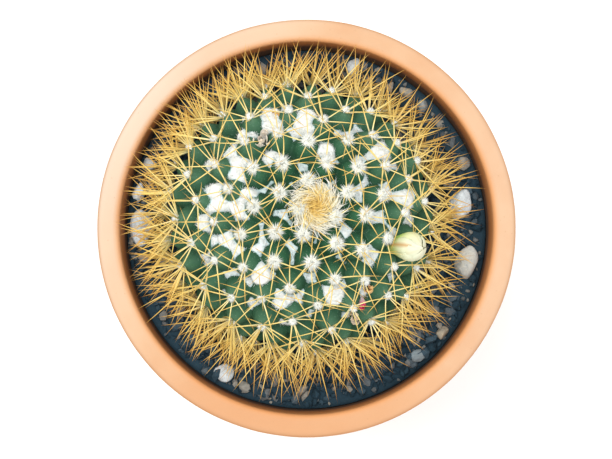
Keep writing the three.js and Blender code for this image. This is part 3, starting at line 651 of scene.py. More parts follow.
def make_pot():
    """The outline carried round, with a faint wave of the thrower's hand on its outside. Its
    fields say where light and shade are painted on the clay: painted light on one side,
    painted shade on another, at the rim's edges and down the inner wall."""
    body_top = COLLAR_RADIUS - COLLAR_STEP
    rim_turn = (RIM_RADIUS - RIM_ROUND, POT_HEIGHT - RIM_ROUND)
    lip_turn = (INNER_RADIUS + LIP_ROUND, POT_HEIGHT - LIP_ROUND)
    lip_end = (inner_radius(POT_HEIGHT - LIP_DEPTH), POT_HEIGHT - LIP_DEPTH)
    collar_in = (COLLAR_INNER_RADIUS, COLLAR_FOOT)
    floor_in = (FLOOR_RADIUS, FLOOR_THICKNESS)
    drain_in = (DRAIN_RADIUS, FLOOR_THICKNESS)
    outline = [
        *arc((DRAIN_RADIUS + DRAIN_ROUND, DRAIN_ROUND), DRAIN_ROUND, 180, 270, 4),
        *straight((DRAIN_RADIUS + 2, 0), (FOOT_RADIUS - 2, 0), 8),
        *arc((FOOT_RADIUS - FOOT_ROUND, FOOT_ROUND), FOOT_ROUND, -90, -8, 5),
        *straight((FOOT_RADIUS + 0.2, 2 * FOOT_ROUND), (body_top - 0.25, COLLAR_FOOT - 1.2), 40),
        *arc((body_top + 0.55, COLLAR_FOOT - 0.8), 0.8, 180, 90, 4),
        *arc((COLLAR_RADIUS - 1, COLLAR_FOOT + 1), 1, -90, 0, 5),
        *straight((COLLAR_RADIUS + 0.05, COLLAR_FOOT + 2), (RIM_RADIUS, rim_turn[1]), 14),
        *arc(rim_turn, RIM_ROUND, 0, 90, 9),
        *straight((rim_turn[0] - 0.3, POT_HEIGHT), (lip_turn[0], POT_HEIGHT), 4),
        *arc(lip_turn, LIP_ROUND, 90, 180, 9),
        *straight(lip_end, collar_in, 12),
        *straight(collar_in, floor_in, 20),
        *straight(floor_in, drain_in, 8),
        *straight(drain_in, (DRAIN_RADIUS, DRAIN_ROUND), 4),
    ]
    points = turned(outline, 192)
    z = points[..., 2]
    outside = np.hypot(points[..., 0], points[..., 1]) > inner_radius(z) + 1
    wave = 0.05 * noise(points * [0.25, 0.25, 1.0], 2.2, 3) + 0.06 * noise(points, 14, 5)
    wave = np.abs(wave) * smooth_step(2.5, 5, z) * outside
    points = points - unit(points * [1, 1, 0]) * wave[..., None]
    radius = np.hypot(points[..., 0], points[..., 1])
    bearing = np.arctan2(points[..., 1], points[..., 0])
    from_wall = radius - inner_radius(z)
    # Painted light: the clay paler towards one bearing, and a little towards bearing 0.
    toward = np.cos(bearing - PAINTED_LIGHT_BEARING) + 0.22 * noise(points, 22, 9)
    painted_light = 0.8 * smooth_step(0.3, 1.15, toward) + 0.15 * smooth_step(0.5, 1, np.cos(bearing))
    painted_light = painted_light * smooth_step(0.4, 2.4, from_wall)
    # Painted shade: the clay ruddier towards another bearing.
    toward = np.cos(bearing - RUDDY_SHADE_BEARING) + 0.2 * noise(points, 18, 11)
    painted_ruddy_shade = 0.8 * smooth_step(0.55, 1.1, toward)
    # Painted shade on the inner wall above the grit, reaching higher on the shaded side.
    inside = (from_wall < 0.5) & (z > FLOOR_THICKNESS - 0.5)
    shaded = smooth_step(0.1, 1.0, np.cos(bearing - SHADED_BEARING))
    damp = inside * (1 - smooth_step(SOIL_LEVEL + 1.5 + 2.5 * shaded, POT_HEIGHT + 0.3, z))
    # pale is painted light on the inner lip's lit side, which takes off some of the lip's painted
    # shade.
    pale = smooth_step(0.2, 1.0, np.cos(bearing - LIT_LIP_BEARING))
    lip = (0.8 - 0.3 * pale) * smooth_step(INNER_RADIUS + 1.8, INNER_RADIUS + 0.2, radius)
    lip = lip * (z > POT_HEIGHT - LIP_DEPTH)
    # Painted shade along the rim's outer edge.
    edge = 0.7 * smooth_step(RIM_RADIUS - 0.9, RIM_RADIUS - 0.1, radius)
    fields = {"painted_light": painted_light, "painted_ruddy_shade": painted_ruddy_shade, "damp": damp, "edge": edge, "lip": lip}
    faces = [ring_faces(*points.shape[:2], True)]
    piece = new_mesh("pot_body", points.reshape(-1, 3), faces, clay, fields)
    return finish_piece(piece, "clay", "pot")


# Lattice of the nipples

def site_angles():
    """Polar angles of the nipples: each takes an equal area of the spheroid through the
    nipples' middle, and the youngest take less."""
    a = BODY_RADIUS + NIPPLE_HEIGHT / 2
    c = BODY_HALF_HEIGHT + NIPPLE_HEIGHT / 2
    steps = 3000
    theta = (np.arange(steps) + 0.5) / steps * np.pi
    arc_length = np.hypot(a * np.cos(theta), c * np.sin(theta)) * np.pi / steps
    area = np.cumsum(FULL * a * np.sin(theta) * arc_length)
    cells = CELL_AREA * (1 - CROWN_CROWDING * np.exp(-np.arange(400) / CROWN_FADE))
    middles = np.cumsum(cells) - cells / 2
    middles = middles[middles < np.interp(BURIED_FROM, theta, area)]
    return np.interp(middles, area, theta), cells[:len(middles)]


def spheroid(theta, azimuth):
    """Points of the plant's spheroid, by polar angle from the crown and bearing."""
    return polar_points(BODY_RADIUS * np.sin(theta), azimuth, BODY_HALF_HEIGHT * np.cos(theta))


def growth_direction(points):
    """The spheroid's normal, bent upwards low on the plant."""
    normal = unit(points / np.array([BODY_RADIUS, BODY_RADIUS, BODY_HALF_HEIGHT]) ** 2)
    return unit(normal + 0.5 * np.maximum(0, 0.25 - normal[..., 2:]) * UP)


def rotation(axis, angle):
    """A turn about a named axis, as a matrix."""
    return np.array(Matrix.Rotation(angle, 3, axis))


PLANT_TURN = rotation("X", -LEAN_BACK) @ rotation("Y", LEAN_RIGHT)


def to_pot(points):
    """Points of the upright plant, leaned and moved to its place in the pot."""
    return points @ PLANT_TURN.T + PLANT_PLACE


theta, cell_areas = site_angles()
order = np.arange(len(theta))
site_base = spheroid(theta, FIRST_AZIMUTH + order * GOLDEN_ANGLE)
site_axis = growth_direction(site_base)
site_age = 1 - np.exp(-(order + 1) / 5)
site_height = NIPPLE_HEIGHT * (0.55 + 0.45 * site_age)
site_tip = site_base + site_axis * site_height[:, None]
shown = (to_pot(site_tip)[:, 2] > SOIL_LEVEL + LOWEST_TIP) & (
    to_pot(site_base)[:, 2] > SOIL_LEVEL + LOWEST_BASE)
base, axis, age = site_base[shown], site_axis[shown], site_age[shown]
grown = 1 - np.exp(-(order[shown] + 1) / 16)
height, tip = site_height[shown], site_tip[shown]
spread = 1.05 * np.sqrt(cell_areas[shown] / np.pi)


def nipple_lift(points):
    """Height of the skin over the spheroid: the soft maximum of the nipples' domes, each
    height x (1 - (distance / spread) ** 1.6), and of the bare skin between."""
    firmness = 2.6
    flat = points.reshape(-1, 3)
    lift = np.empty(len(flat))
    for rows in np.array_split(np.arange(len(flat)), max(1, len(flat) // 4000)):
        away = np.linalg.norm(flat[rows, None] - base[None], axis=2) / spread
        dome = height * (1 - away ** 1.6)
        total = np.exp(firmness * np.maximum(dome, -8)).sum(axis=1) + np.exp(-0.3 * firmness)
        lift[rows] = np.log(total) / firmness
    return lift.reshape(points.shape[:-1])


def make_skin():
    """The plant's skin: rows from the buried pole up to the crown, lifted by the nipples."""
    rows, sides = 148, 560
    polar = np.pi * (1 - np.linspace(0, 1, rows + 2)[1:-1, None] ** 0.8)
    ground = spheroid(polar, circle(sides))
    lift = nipple_lift(ground)
    rough = 0.06 * noise(ground, 0.9, 2) + 0.1 * noise(ground, 3.0, 4)
    points = ground + growth_direction(ground) * (lift + rough)[..., None]
    poles = [np.array([0, 0, side * BODY_HALF_HEIGHT]) for side in (-1, 1)]
    crown_lift = nipple_lift(poles[1][None])[0]
    poles[1] = poles[1] + UP * crown_lift
    points, faces = capped(points, *poles)
    # lift also drives the skin's painted shade in the pits.
    shade = np.concatenate([(lift / NIPPLE_HEIGHT).ravel(), [0, crown_lift / NIPPLE_HEIGHT]])
    old = smooth_step(9, 26, np.hypot(points[:, 0], points[:, 1]))
    fields = {"lift": shade, "old": old}
    piece = new_mesh("plant_skin", to_pot(points), faces, skin_material, fields)
    return finish_piece(piece, "plant_skin", "cactus")


# Spines

def over_stone(points):
    """Whether points lie inside the upright column of a stone, up to just above its top."""
    stones = np.array([row[:5] for row in STONES])
    places = polar_points(stones[:, 1], np.radians(stones[:, 0]), 0)
    away = points[:, None, :2] - places[:, :2]
    near = np.linalg.norm(away, axis=-1) < stones[:, 2:4].max(axis=1) / 2 + 0.4
    return (near & (points[:, None, 2] < SOIL_LEVEL + 0.75 * stones[:, 4] + 0.4)).any(axis=1)


def keep_inside(roots, directions, lengths):
    """Turns spines upwards and shortens them until they miss the pot's wall, the grit and
    the stones."""
    for _ in range(16):
        tips = to_pot(roots + directions * lengths[:, None])
        out = np.hypot(tips[:, 0], tips[:, 1])
        wall = np.where(tips[:, 2] < POT_HEIGHT + 0.5, inner_radius(tips[:, 2]), INNER_RADIUS + 1.5)
        bad = (out > wall - 0.8) | (tips[:, 2] < SOIL_LEVEL + 2) | over_stone(tips)
        bad |= over_stone(to_pot(roots + 0.75 * directions * lengths[:, None]))
        directions = np.where(bad[:, None], unit(directions + 0.09 * UP), directions)
        lengths = np.where(bad, lengths * 0.965, lengths)
    return directions, lengths


def spine_set(random, per, rise, length, start, lean, push):
    """Roots, directions and lengths of per spines an areole, evenly round it with some
    scatter. push leans them away from the plant's middle."""
    count = len(tip)
    side, front = cross_frame(axis)
    bearing = (np.arange(per) / per * FULL + start + random.uniform(-0.4, 0.4, (count, per))
               + random.uniform(0, FULL, (count, 1)))
    steep = np.radians(random.uniform(*rise, (count, per)) + 22 * (1 - age[:, None]))
    out = ring_about(side, front, bearing)
    direction = raised(out, axis[:, None], steep)
    bend = 0.35 * np.maximum(0, 0.5 - axis[:, 2])[:, None, None]
    outwards = unit(tip * np.array([1, 1, 0.0]))
    push = (push[:, None] * random.uniform(0.2, 1.5, (count, per)))[..., None]
    direction = unit(direction + bend * UP + push * outwards[:, None])
    long = random.uniform(*length, (count, per)) * (0.4 + 0.6 * grown[:, None])
    roots = tip[:, None] + out * lean + direction * 0.1 - axis[:, None] * 0.5
    return roots.reshape(-1, 3), direction.reshape(-1, 3), long.ravel()


def misses_flowers(roots, directions, lengths, places):
    """Whether each spine stays outside every flower, taken as a rod round its line."""
    share = np.linspace(0, 1, 12)[:, None]
    points = to_pot(roots[:, None] + share * (directions * lengths[:, None])[:, None])
    clear = np.ones(len(roots), bool)
    for flower in [BUD, *SMALL_FLOWERS]:
        root, direction = flower_line(flower, places)
        along = np.clip((points - root) @ direction, 0, flower.get("tube", 0) + flower["length"])
        away = np.linalg.norm(points - root - along[..., None] * direction, axis=-1)
        clear &= (away > flower["radius"] * 1.05).all(axis=1)
    return clear


def make_spines(places):
    """All the plant's spines: a ring of radial ones round each areole, more of them low on
    the plant, and one to three steeper central ones; gold when young and browner low down.
    A set has its number, range of rise, range of length, first bearing, offset of the
    roots, outward push and chance."""
    random = np.random.default_rng(21)
    low = smooth_step(0.75, 0.2, axis[:, 2])
    sets = [
        (7, (14, 42), (11, 16.5), 0, 0.6, 0.3 * low, np.ones(len(tip))),
        (9, (4, 46), (10, 18), 0.5, 0.5, 0.5 * low, low),
        (3, (30, 75), (11, 18), 0.8, 0.4, 0.2 * low, low),
        (1, (58, 82), (13, 17.5), 0, 0.2, 0 * low, np.ones(len(tip))),
        (2, (48, 75), (13, 17.5), 1.5, 0.2, 0.1 * low, 0.2 + 0.8 * low),
    ]
    parts = []
    for per, rise, length, start, lean, push, chance in sets:
        found = spine_set(random, per, rise, length, start, lean, push)
        kept = random.uniform(0, 1, len(found[0])) < np.repeat(chance, per)
        parts.append([values[kept] for values in (*found, np.repeat(low, per))])
    roots, directions, lengths, low = [np.concatenate(group) for group in zip(*parts)]
    directions, lengths = keep_inside(roots, directions, lengths)
    clear = misses_flowers(roots, directions, lengths, places)
    roots, directions, lengths, low = [v[clear] for v in (roots, directions, lengths, low)]
    thick = random.uniform(*SPINE_RADIUS, len(roots)) * (1 + 0.4 * low)
    tips = roots + directions * lengths[:, None]
    side, front = cross_frame(directions)
    bow = side * random.normal(0, 0.22, (len(roots), 1))
    bow = bow + front * random.normal(0, 0.22, (len(roots), 1))
    points, faces, along, per = bristles(roots, tips, thick, 5, 5, bow, taper=1.6)
    # Spines low down near the grit take the orange-brown ramp: partly their age, partly painted shade
    # deep in the pot.
    level = to_pot(roots)[:, 2]
    old = 1 - smooth_step(SOIL_LEVEL + 4, SOIL_LEVEL + 22, level)
    tone = np.clip(0.7 * old + random.uniform(-0.3, 0.6, len(roots)), 0, 1)
    fields = {"along": along, "tone": np.repeat(tone, per)}
    piece = new_mesh("spines", to_pot(points), faces, spine_material, fields)
    return finish_piece(piece, "plant_skin")


# Wool and felt

def hair_ball(random, centres, axes, radii, count, length, lowest, highest):
    """Fine hairs standing out of each centre over a belt of directions."""
    side, front = cross_frame(axes)
    bearing = random.uniform(0, FULL, (len(centres), count))
    lift = np.radians(random.uniform(lowest, highest, (len(centres), count)))
    direction = raised(ring_about(side, front, bearing), axes[:, None], lift)
    roots = centres[:, None] + direction * (0.5 * radii)[:, None, None]
    reach = random.uniform(*length, (len(centres), count)) * radii[:, None]
    tips = roots + direction * reach[..., None]
    return roots.reshape(-1, 3), tips.reshape(-1, 3)


def make_felt():
    """White felt on each nipple's tip: a flat cushion and a burst of short, stiff hairs
    round it. The crown's own tuft covers the youngest."""
    random = np.random.default_rng(5)
    from_crown = np.hypot(tip[:, 0], tip[:, 1])
    bare = from_crown > 4.0
    radii = (AREOLE_RADIUS * (1 - 0.5 * smooth_step(15, 29, from_crown)))[bare]
    along = axis[bare]
    centres = tip[bare] - along * 0.1
    roots, tips = hair_ball(random, centres, along, radii, FELT_HAIRS, (0.5, 1.35), -8, 80)
    points, faces, share, _ = bristles(roots, tips, np.full(len(roots), FELT_RADIUS))
    side, front = cross_frame(along)
    half_sizes = np.stack([0.85 * side, 0.85 * front, 0.62 * along], axis=1) * radii[:, None, None]
    body = np.einsum("rsk,nkc->nrsc", ball(6, 16), half_sizes) + centres[:, None, None]
    body = body + 0.06 * noise(body, 0.6, 3)[..., None] * along[:, None, None]
    poles = np.stack([centres - half_sizes[:, 2], centres + half_sizes[:, 2]], axis=1)
    cushions = np.concatenate([body.reshape(len(centres), -1, 3), poles], axis=1)
    _, pattern = capped(body[0], *poles[0])
    start = len(points) + np.arange(len(centres))[:, None, None] * cushions.shape[1]
    faces += [(start + group).reshape(-1, group.shape[1]) for group in pattern]
    share = np.concatenate([share, np.zeros(cushions.shape[0] * cushions.shape[1])])
    points = np.concatenate([points, cushions.reshape(-1, 3)])
    piece = new_mesh("areole_felt", to_pot(points), faces, felt_material, {"along": share})
    return finish_piece(piece, "wool")


def axil_places():
    """The pits between nipples: the middles of the triangles of the nipples' hull, pushed
    out onto the spheroid."""
    hull = bmesh.new()
    for place in site_base:
        hull.verts.new(place)
    bmesh.ops.convex_hull(hull, input=hull.verts)
    middles = np.array([face.calc_center_median() for face in hull.faces])
    hull.free()
    size = np.array([BODY_RADIUS, BODY_RADIUS, BODY_HALF_HEIGHT])
    return middles / np.linalg.norm(middles / size, axis=1, keepdims=True)


def wool_level(places):
    """How high the wool stands over the spheroid: level in each pit that holds wool and
    falling off at its edge, and a thread of it in the grooves of the upper part; both swell
    and sink with noise."""
    away = np.linalg.norm(to_pot(places)[..., None, :2] - WOOL[:, :2], axis=-1) - WOOL[:, 2]
    thick = (WOOL[:, 3] * smooth_step(WOOL_EDGE, 0, away)).max(axis=-1)
    from_crown = np.hypot(places[..., 0], places[..., 1])
    thread = (1.75 + 1.3 * noise(places, 5, 12)) * smooth_step(4, 9, from_crown)
    puff = 1 + 0.1 * noise(places, 1.8, 7) + 0.06 * noise(places, 0.8, 8)
    return (np.maximum(thick, thread) * puff + 0.5) * smooth_step(*WOOL_END, from_crown) - WOOL_SUNK


def make_wool():
    """Wool: one sheet under the upper part of the skin, which rises out of the grooves where
    it is thick, so that the nipples' sides cut its edge. Wisps stand along that edge."""
    random = np.random.default_rng(9)
    rows, under_rows, sides = 180, 6, 420
    lowest, shrink = 78, 0.93
    polar = np.radians(np.linspace(lowest, 0, rows + 1)[:-1, None])
    ground = spheroid(polar, circle(sides))
    normal = growth_direction(ground)
    level = wool_level(ground)
    over_skin = level - nipple_lift(ground)
    body = ground + level[..., None] * normal
    under_polar = np.radians(np.linspace(10, lowest - 1, under_rows)[:, None])
    under = shrink * spheroid(under_polar, circle(sides))
    ends = UP * shrink * BODY_HALF_HEIGHT, UP * (BODY_HALF_HEIGHT - 0.5)
    points, faces = capped(np.concatenate([under, body]), *ends)
    # The second factor is painted shade: the wool darker and bluer where it lies low in the grooves.
    depth = smooth_step(-0.1, 0.8, over_skin) * (0.4 + 0.6 * smooth_step(0.6, 3.2, level))
    depth = np.concatenate([np.zeros(under_rows * sides), depth.ravel(), [0, 0]])
    piece = new_mesh("axil_wool", to_pot(points), faces, wool_material, {"depth": depth})
    nodes = [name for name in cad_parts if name.startswith("wool_")]
    finish_piece(piece, "wool", *nodes)
    chance = (over_skin > -0.25) * np.where(over_skin < 1.2, 1.0, 0.25) * np.sin(polar)
    picked = random.choice(chance.size, WISP_COUNT, p=chance.ravel() / chance.sum())
    up = normal.reshape(-1, 3)[picked]
    roots = body.reshape(-1, 3)[picked] - 0.25 * up + 0.2 * random.normal(0, 1, up.shape)
    swirl = unit(np.cross(up, random.normal(0, 1, roots.shape)))
    lift = random.uniform(0.0, 0.7, (len(roots), 1))
    tips = roots + unit(swirl + lift * up) * random.uniform(0.5, 1.5, (len(roots), 1))
    points, faces, _, per = bristles(roots, tips, random.uniform(*WISP_RADIUS, len(roots)))
    white = depth[under_rows * sides:-2][picked] + random.uniform(0.1, 0.4, len(roots))
    fields = {"depth": np.repeat(np.clip(white, 0, 1), per)}
    piece = new_mesh("wool_wisps", to_pot(points), faces, wool_material, fields)
    return finish_piece(piece, "wool")


def make_crown():
    """Golden tuft at the crown: fine young bristles curling round and over the growing
    point on a low cushion, gold in the middle, cream further out and white at the fringe."""
    random = np.random.default_rng(3)
    count = TUFT_BRISTLES
    reach = 1.05 * TUFT_RADIUS * np.sqrt(random.uniform(0, 1, count))
    bearing = random.uniform(0, FULL, count)
    level = BODY_HALF_HEIGHT + 4.6 - 0.08 * reach ** 2 + random.uniform(-0.6, 0.5, count)
    roots = polar_points(reach, bearing, level)
    fringe = smooth_step(0.55, 1.0, reach / TUFT_RADIUS)
    swing = bearing + random.normal(1.9, 0.75, count) * (1 - 0.3 * fringe)
    rise = random.uniform(-0.1, 0.6, count)
    direction = unit(raised(polar_points(1, swing, 0), UP, rise))
    long = random.uniform(3.6, 8.0, count) * (1 - 0.35 * fringe)
    tips = roots + direction * long[:, None]
    curl = random.normal(0.75, 0.5, (count, 1)) * (1 - 0.3 * fringe[:, None])
    bow = (unit(np.cross(direction, UP)) * curl + 0.25 * UP) * (long[:, None] / 4)
    thick = random.uniform(*TUFT_BRISTLE_RADIUS, count)
    points, faces, _, per = bristles(roots, tips, thick, 4, 6, bow, taper=2.0)
    near = np.hypot(points[:, 0], points[:, 1]) / TUFT_RADIUS
    tone = np.clip(1.15 - 0.9 * near + np.repeat(random.normal(0, 0.16, count), per), 0, 1)
    wide, tall, middle = 0.9 * TUFT_RADIUS, 3.0, BODY_HALF_HEIGHT + 1.2
    cushion = ball(14, 40) * [wide, wide, tall] + UP * middle
    cushion[..., 2] += 0.3 * noise(cushion, 0.8, 6)
    soft, soft_faces = capped(cushion, UP * (middle - tall), UP * (middle + tall))
    faces += [group + len(points) for group in soft_faces]
    near = np.hypot(soft[:, 0], soft[:, 1]) / wide
    tone = np.concatenate([tone, np.clip(1.1 - 0.8 * near, 0, 1)])
    points = np.concatenate([points, soft])
    piece = new_mesh("crown_tuft", to_pot(points), faces, tuft_material, {"tone": tone})
    return finish_piece(piece, "plant_skin")


# Flowers

def flower_line(flower, places):
    """Where a flower leaves the plant, and its direction, in the pot's frame."""
    spots = to_pot(places)
    spots = spots[spots[:, 2] > SOIL_LEVEL]
    across = np.linalg.norm(spots[:, :2] - np.array(flower["at"]), axis=1)
    bearing, rise = np.radians(flower["bearing"]), np.radians(flower["rise"])
    return spots[np.argmin(across)], polar_points(np.cos(rise), bearing, np.sin(rise))


# A tepal's distance from the flower's line and its half width, as shares, along its length
TEPAL_SHARES = [0, 0.2, 0.42, 0.62, 0.78, 0.9, 1]
TEPAL_OUT = [0.5, 0.76, 0.92, 0.99, 1.0, 0.96, 0.88]
TEPAL_WIDE = [0.5, 0.72, 0.95, 1.0, 0.8, 0.42, 0.04]
BUD_OUT = [0.42, 0.64, 0.84, 0.98, 0.96, 0.7, 0.1]
BUD_WIDE = [0.5, 0.7, 0.9, 1.0, 0.98, 0.6, 0.06]


def tepal(length, radius, width, bearing, lean, twist=0.0, crumple=0.0, seed=0,
          outline=(TEPAL_OUT, TEPAL_WIDE)):
    """One tepal as a thin closed leaf: its midline follows the flower's swelling outline and
    leans outwards, and its width swells then runs to a point. Returns points and fields."""
    rows, cols = 13, 7
    share = np.linspace(0, 1, rows)[:, None]
    across = np.linspace(-1, 1, cols)[None]
    out = radius * (np.interp(share, TEPAL_SHARES, outline[0]) + lean * share)
    half = width * np.interp(share, TEPAL_SHARES, outline[1])
    swing = bearing + twist * share + across * half / np.maximum(out, 0.4 * radius)
    outer = polar_points(out * (1 - 0.07 * across ** 2), swing, length * share)
    if crumple:
        wrinkle = np.stack([noise(outer, 1.1, seed + k) for k in range(3)], axis=-1)
        outer = outer + crumple * wrinkle * share[..., None]
    inward = unit(polar_points(-1, swing, 0.25))
    inner = outer + inward * (0.28 * (1 - 0.6 * share) * (1 - 0.7 * across ** 2))[..., None]
    points = np.concatenate([outer.reshape(-1, 3), inner.reshape(-1, 3)])
    along = np.tile((share * np.ones_like(across)).ravel(), 2)
    rib = np.tile((np.exp(-(across / 0.2) ** 2) * smooth_step(0, 0.15, share)).ravel(), 2)
    i, j = np.meshgrid(np.arange(rows - 1), np.arange(cols - 1), indexing="ij")
    a = i * cols + j
    front = np.stack([a, a + 1, a + cols + 1, a + cols], axis=-1).reshape(-1, 4)
    count = rows * cols
    back = front[:, ::-1] + count
    edge = np.concatenate([
        np.arange(cols), np.arange(1, rows) * cols + cols - 1,
        (rows - 1) * cols + np.arange(cols - 2, -1, -1), np.arange(rows - 2, 0, -1) * cols])
    nxt = np.roll(edge, -1)
    rim = np.stack([nxt, edge, edge + count, nxt + count], axis=-1)
    return points, np.concatenate([front, back, rim]), along, rib


def join_leaves(leaves):
    """Several leaves as one set of points, faces and fields."""
    points, faces, along, rib, start = [], [], [], [], 0
    for leaf in leaves:
        points.append(leaf[0])
        faces.append(leaf[1] + start)
        along.append(leaf[2])
        rib.append(leaf[3])
        start += len(leaf[0])
    return np.concatenate(points), np.concatenate(faces), np.concatenate(along), np.concatenate(rib)


def on_line(points, line, start):
    """Points from an upright flower moved onto its line."""
    root, direction = line
    side, front = cross_frame(direction)
    turn = np.stack([side, front, direction])
    return points @ turn + root + direction * start


def make_bud(places):
    """The cream bud: layers of broad tepals round each other, the outer ones greener on the
    far side, and one with a brown midrib on top, on a short green tube. A layer has its
    number of tepals, their height, distance and width as shares, and their outward lean."""
    line = flower_line(BUD, places)
    length, radius = BUD["length"], BUD["radius"]
    side, front = cross_frame(line[1])
    upward, away = np.arctan2(front[2], side[2]), np.arctan2(front[1], side[1])
    layers = [
        (5, 0.93, 1.04, 0.06), (6, 0.98, 0.95, 0.04), (6, 1.0, 0.78, 0.0),
        (5, 0.99, 0.54, 0.0), (4, 0.98, 0.3, 0.0)]
    leaves, tones = [], []
    for layer, (count, tall, wide, lean) in enumerate(layers):
        for i in range(count):
            bearing = upward + (i + 0.5 * (layer % 2) + 0.1 * layer) / count * FULL
            vary = 1 + 0.045 * np.sin(7.0 * i + layer)
            leaf = tepal(length * tall * vary, radius * wide, 2.75 * wide, bearing, lean,
                         outline=(BUD_OUT, BUD_WIDE))
            ribbed = 1.0 if layer == 0 and i == 0 else 0.2
            leaves.append((*leaf[:3], leaf[3] * ribbed))
            green = 0.25 if layer < 2 else 0.0
            if layer == 0:
                green += 0.75 * max(0, np.cos(bearing - away))
            tones.append(np.full(len(leaf[0]), green))
    points, faces, along, rib = join_leaves(leaves)
    fields = {"along": along, "rib": rib, "tone": np.clip(np.concatenate(tones), 0, 1)}
    place = on_line(points, line, BUD["tube"] - 0.9)
    piece = new_mesh("cream_bud", place, [faces], cream_finish(), fields)
    finish_piece(piece, "tepal", "flower_bud")
    outline = [
        (1.5, -2), (1.9, 1.4), (TUBE_TOP - 0.3, BUD["tube"] - 0.7), (TUBE_TOP, BUD["tube"]),
        (TUBE_TOP - 0.7, BUD["tube"] + 0.5)]
    points, faces = capped(turned(outline, 28), UP * outline[0][1], UP * outline[-1][1])
    fields = {"lift": np.full(len(points), 0.95)}
    tube = new_mesh("bud_tube", on_line(points, line, 0), faces, skin_material, fields)
    return finish_piece(tube, "plant_skin")


def make_small_flowers(places):
    """The pink bud and the withered flowers, each a knot of narrow tepals: eight closed ones
    in the bud, and eleven twisted and crumpled ones in a withered flower."""
    pink, dry = pink_finish(), dry_finish()
    for number, flower in enumerate(SMALL_FLOWERS):
        closed = flower["name"] == "pink_bud"
        random = np.random.default_rng(60 + number)
        leaves = []
        for i in range(8 if closed else 11):
            bearing = i / 8 * FULL + random.uniform(-0.2, 0.2)
            tall = flower["length"] * random.uniform(0.8, 1.1)
            if closed:
                lean, twist, crumple, wide = -0.35, 0.4, 0.05, 0.8
                out = flower["radius"] * random.uniform(0.75, 1.0)
            else:
                lean = random.uniform(-0.3, 0.3)
                twist = random.uniform(-0.8, 0.8)
                crumple, wide = 0.4, 1.15
                out = flower["radius"] * random.uniform(0.3, 1.0)
            seed = 100 * number + 10 * i
            leaves.append(tepal(tall, out, wide, bearing, lean, twist, crumple, seed))
        points, faces, along, rib = join_leaves(leaves)
        place = on_line(points, flower_line(flower, places), FLOWER_STARTS[number])
        fields = {"along": along, "rib": rib, "tone": np.full(len(points), DRY_TONES[number])}
        material = pink if closed else dry
        piece = new_mesh(flower["name"] + "_tepals", place, [faces], material, fields)
        finish_piece(piece, "pink_tepal" if closed else "dry_tepal", flower["name"])


# Grit and stones

def icosahedron():
    """Points and faces of a regular solid with twenty triangles."""
    gold = (1 + np.sqrt(5)) / 2
    points = np.array([
        [-1, gold, 0], [1, gold, 0], [-1, -gold, 0], [1, -gold, 0], [0, -1, gold], [0, 1, gold],
        [0, -1, -gold], [0, 1, -gold], [gold, 0, -1], [gold, 0, 1], [-gold, 0, -1], [-gold, 0, 1]])
    faces = np.array([
        [0, 11, 5], [0, 5, 1], [0, 1, 7], [0, 7, 10], [0, 10, 11], [1, 5, 9], [5, 11, 4],
        [11, 10, 2], [10, 7, 6], [7, 1, 8], [3, 9, 4], [3, 4, 2], [3, 2, 6], [3, 6, 8],
        [3, 8, 9], [4, 9, 5], [2, 4, 11], [6, 2, 10], [8, 6, 7], [9, 8, 1]])
    return unit(points), faces


def random_turns(random, count):
    """Random rotations, one for each of count things, from unit quaternions."""
    w, x, y, z = unit(random.normal(0, 1, (count, 4))).T
    return np.stack([
        np.stack([1 - 2 * (y * y + z * z), 2 * (x * y - w * z), 2 * (x * z + w * y)], -1),
        np.stack([2 * (x * y + w * z), 1 - 2 * (x * x + z * z), 2 * (y * z - w * x)], -1),
        np.stack([2 * (x * z - w * y), 2 * (y * z + w * x), 1 - 2 * (x * x + y * y)], -1),
    ], axis=1)


def make_soil():
    """The soil: its sides follow the pot's wall, and its top rises and falls a little."""
    radii = np.linspace(inner_radius(SOIL_LEVEL) - GAP, 2, 40)
    top = [(r, SOIL_LEVEL) for r in radii]
    outline = [
        (2, FLOOR_THICKNESS + GAP), (FLOOR_RADIUS - GAP, FLOOR_THICKNESS + GAP),
        (COLLAR_INNER_RADIUS - GAP, COLLAR_FOOT), *top]
    rows = turned(outline, 160)
    free = rows[..., 2] >= SOIL_LEVEL
    rows[..., 2] += free * (0.35 * noise(rows, 3.5, 1) + 0.3 * noise(rows, 1.2, 2) - 0.4)
    points, faces = capped(rows, [0, 0, FLOOR_THICKNESS + GAP], [0, 0, SOIL_LEVEL - 0.4])
    fields = {"tone": np.full(len(points), 0.3)}
    piece = new_mesh("soil_bed", points, faces, grit_material, fields)
    return finish_piece(piece, "grit", "soil")


def make_grains():
    """Angular grit over the soil: jittered, flattened icosahedra, most of them small."""
    random = np.random.default_rng(12)
    count = GRAIN_COUNT
    size = 0.6 + 1.6 * random.uniform(0, 1, count) ** 2.4
    outer = inner_radius(SOIL_LEVEL) - 0.5 - size
    reach = np.sqrt(random.uniform(24 ** 2, outer ** 2))
    bearing = random.uniform(0, FULL, count)
    level = SOIL_LEVEL - 0.1 + random.uniform(-0.4, 0.9, count) * size
    centre = polar_points(reach, bearing, level)
    shape, pattern = icosahedron()
    jitter = 1 + random.uniform(-0.28, 0.28, (count, len(shape), 1))
    squash = random.uniform([0.75, 0.6, 0.45], [1.25, 1.0, 0.8], (count, 3))
    body = shape[None] * jitter * (size[:, None] * squash)[:, None]
    body = np.einsum("nij,nkj->nki", random_turns(random, count), body) + centre[:, None]
    faces = (np.arange(count)[:, None, None] * len(shape) + pattern[None]).reshape(-1, 3)
    fields = {"tone": np.repeat(random.uniform(0, 1, count), len(shape))}
    piece = new_mesh("grit_grains", body.reshape(-1, 3), [faces], grit_material, fields, False)
    return finish_piece(piece, "grit")


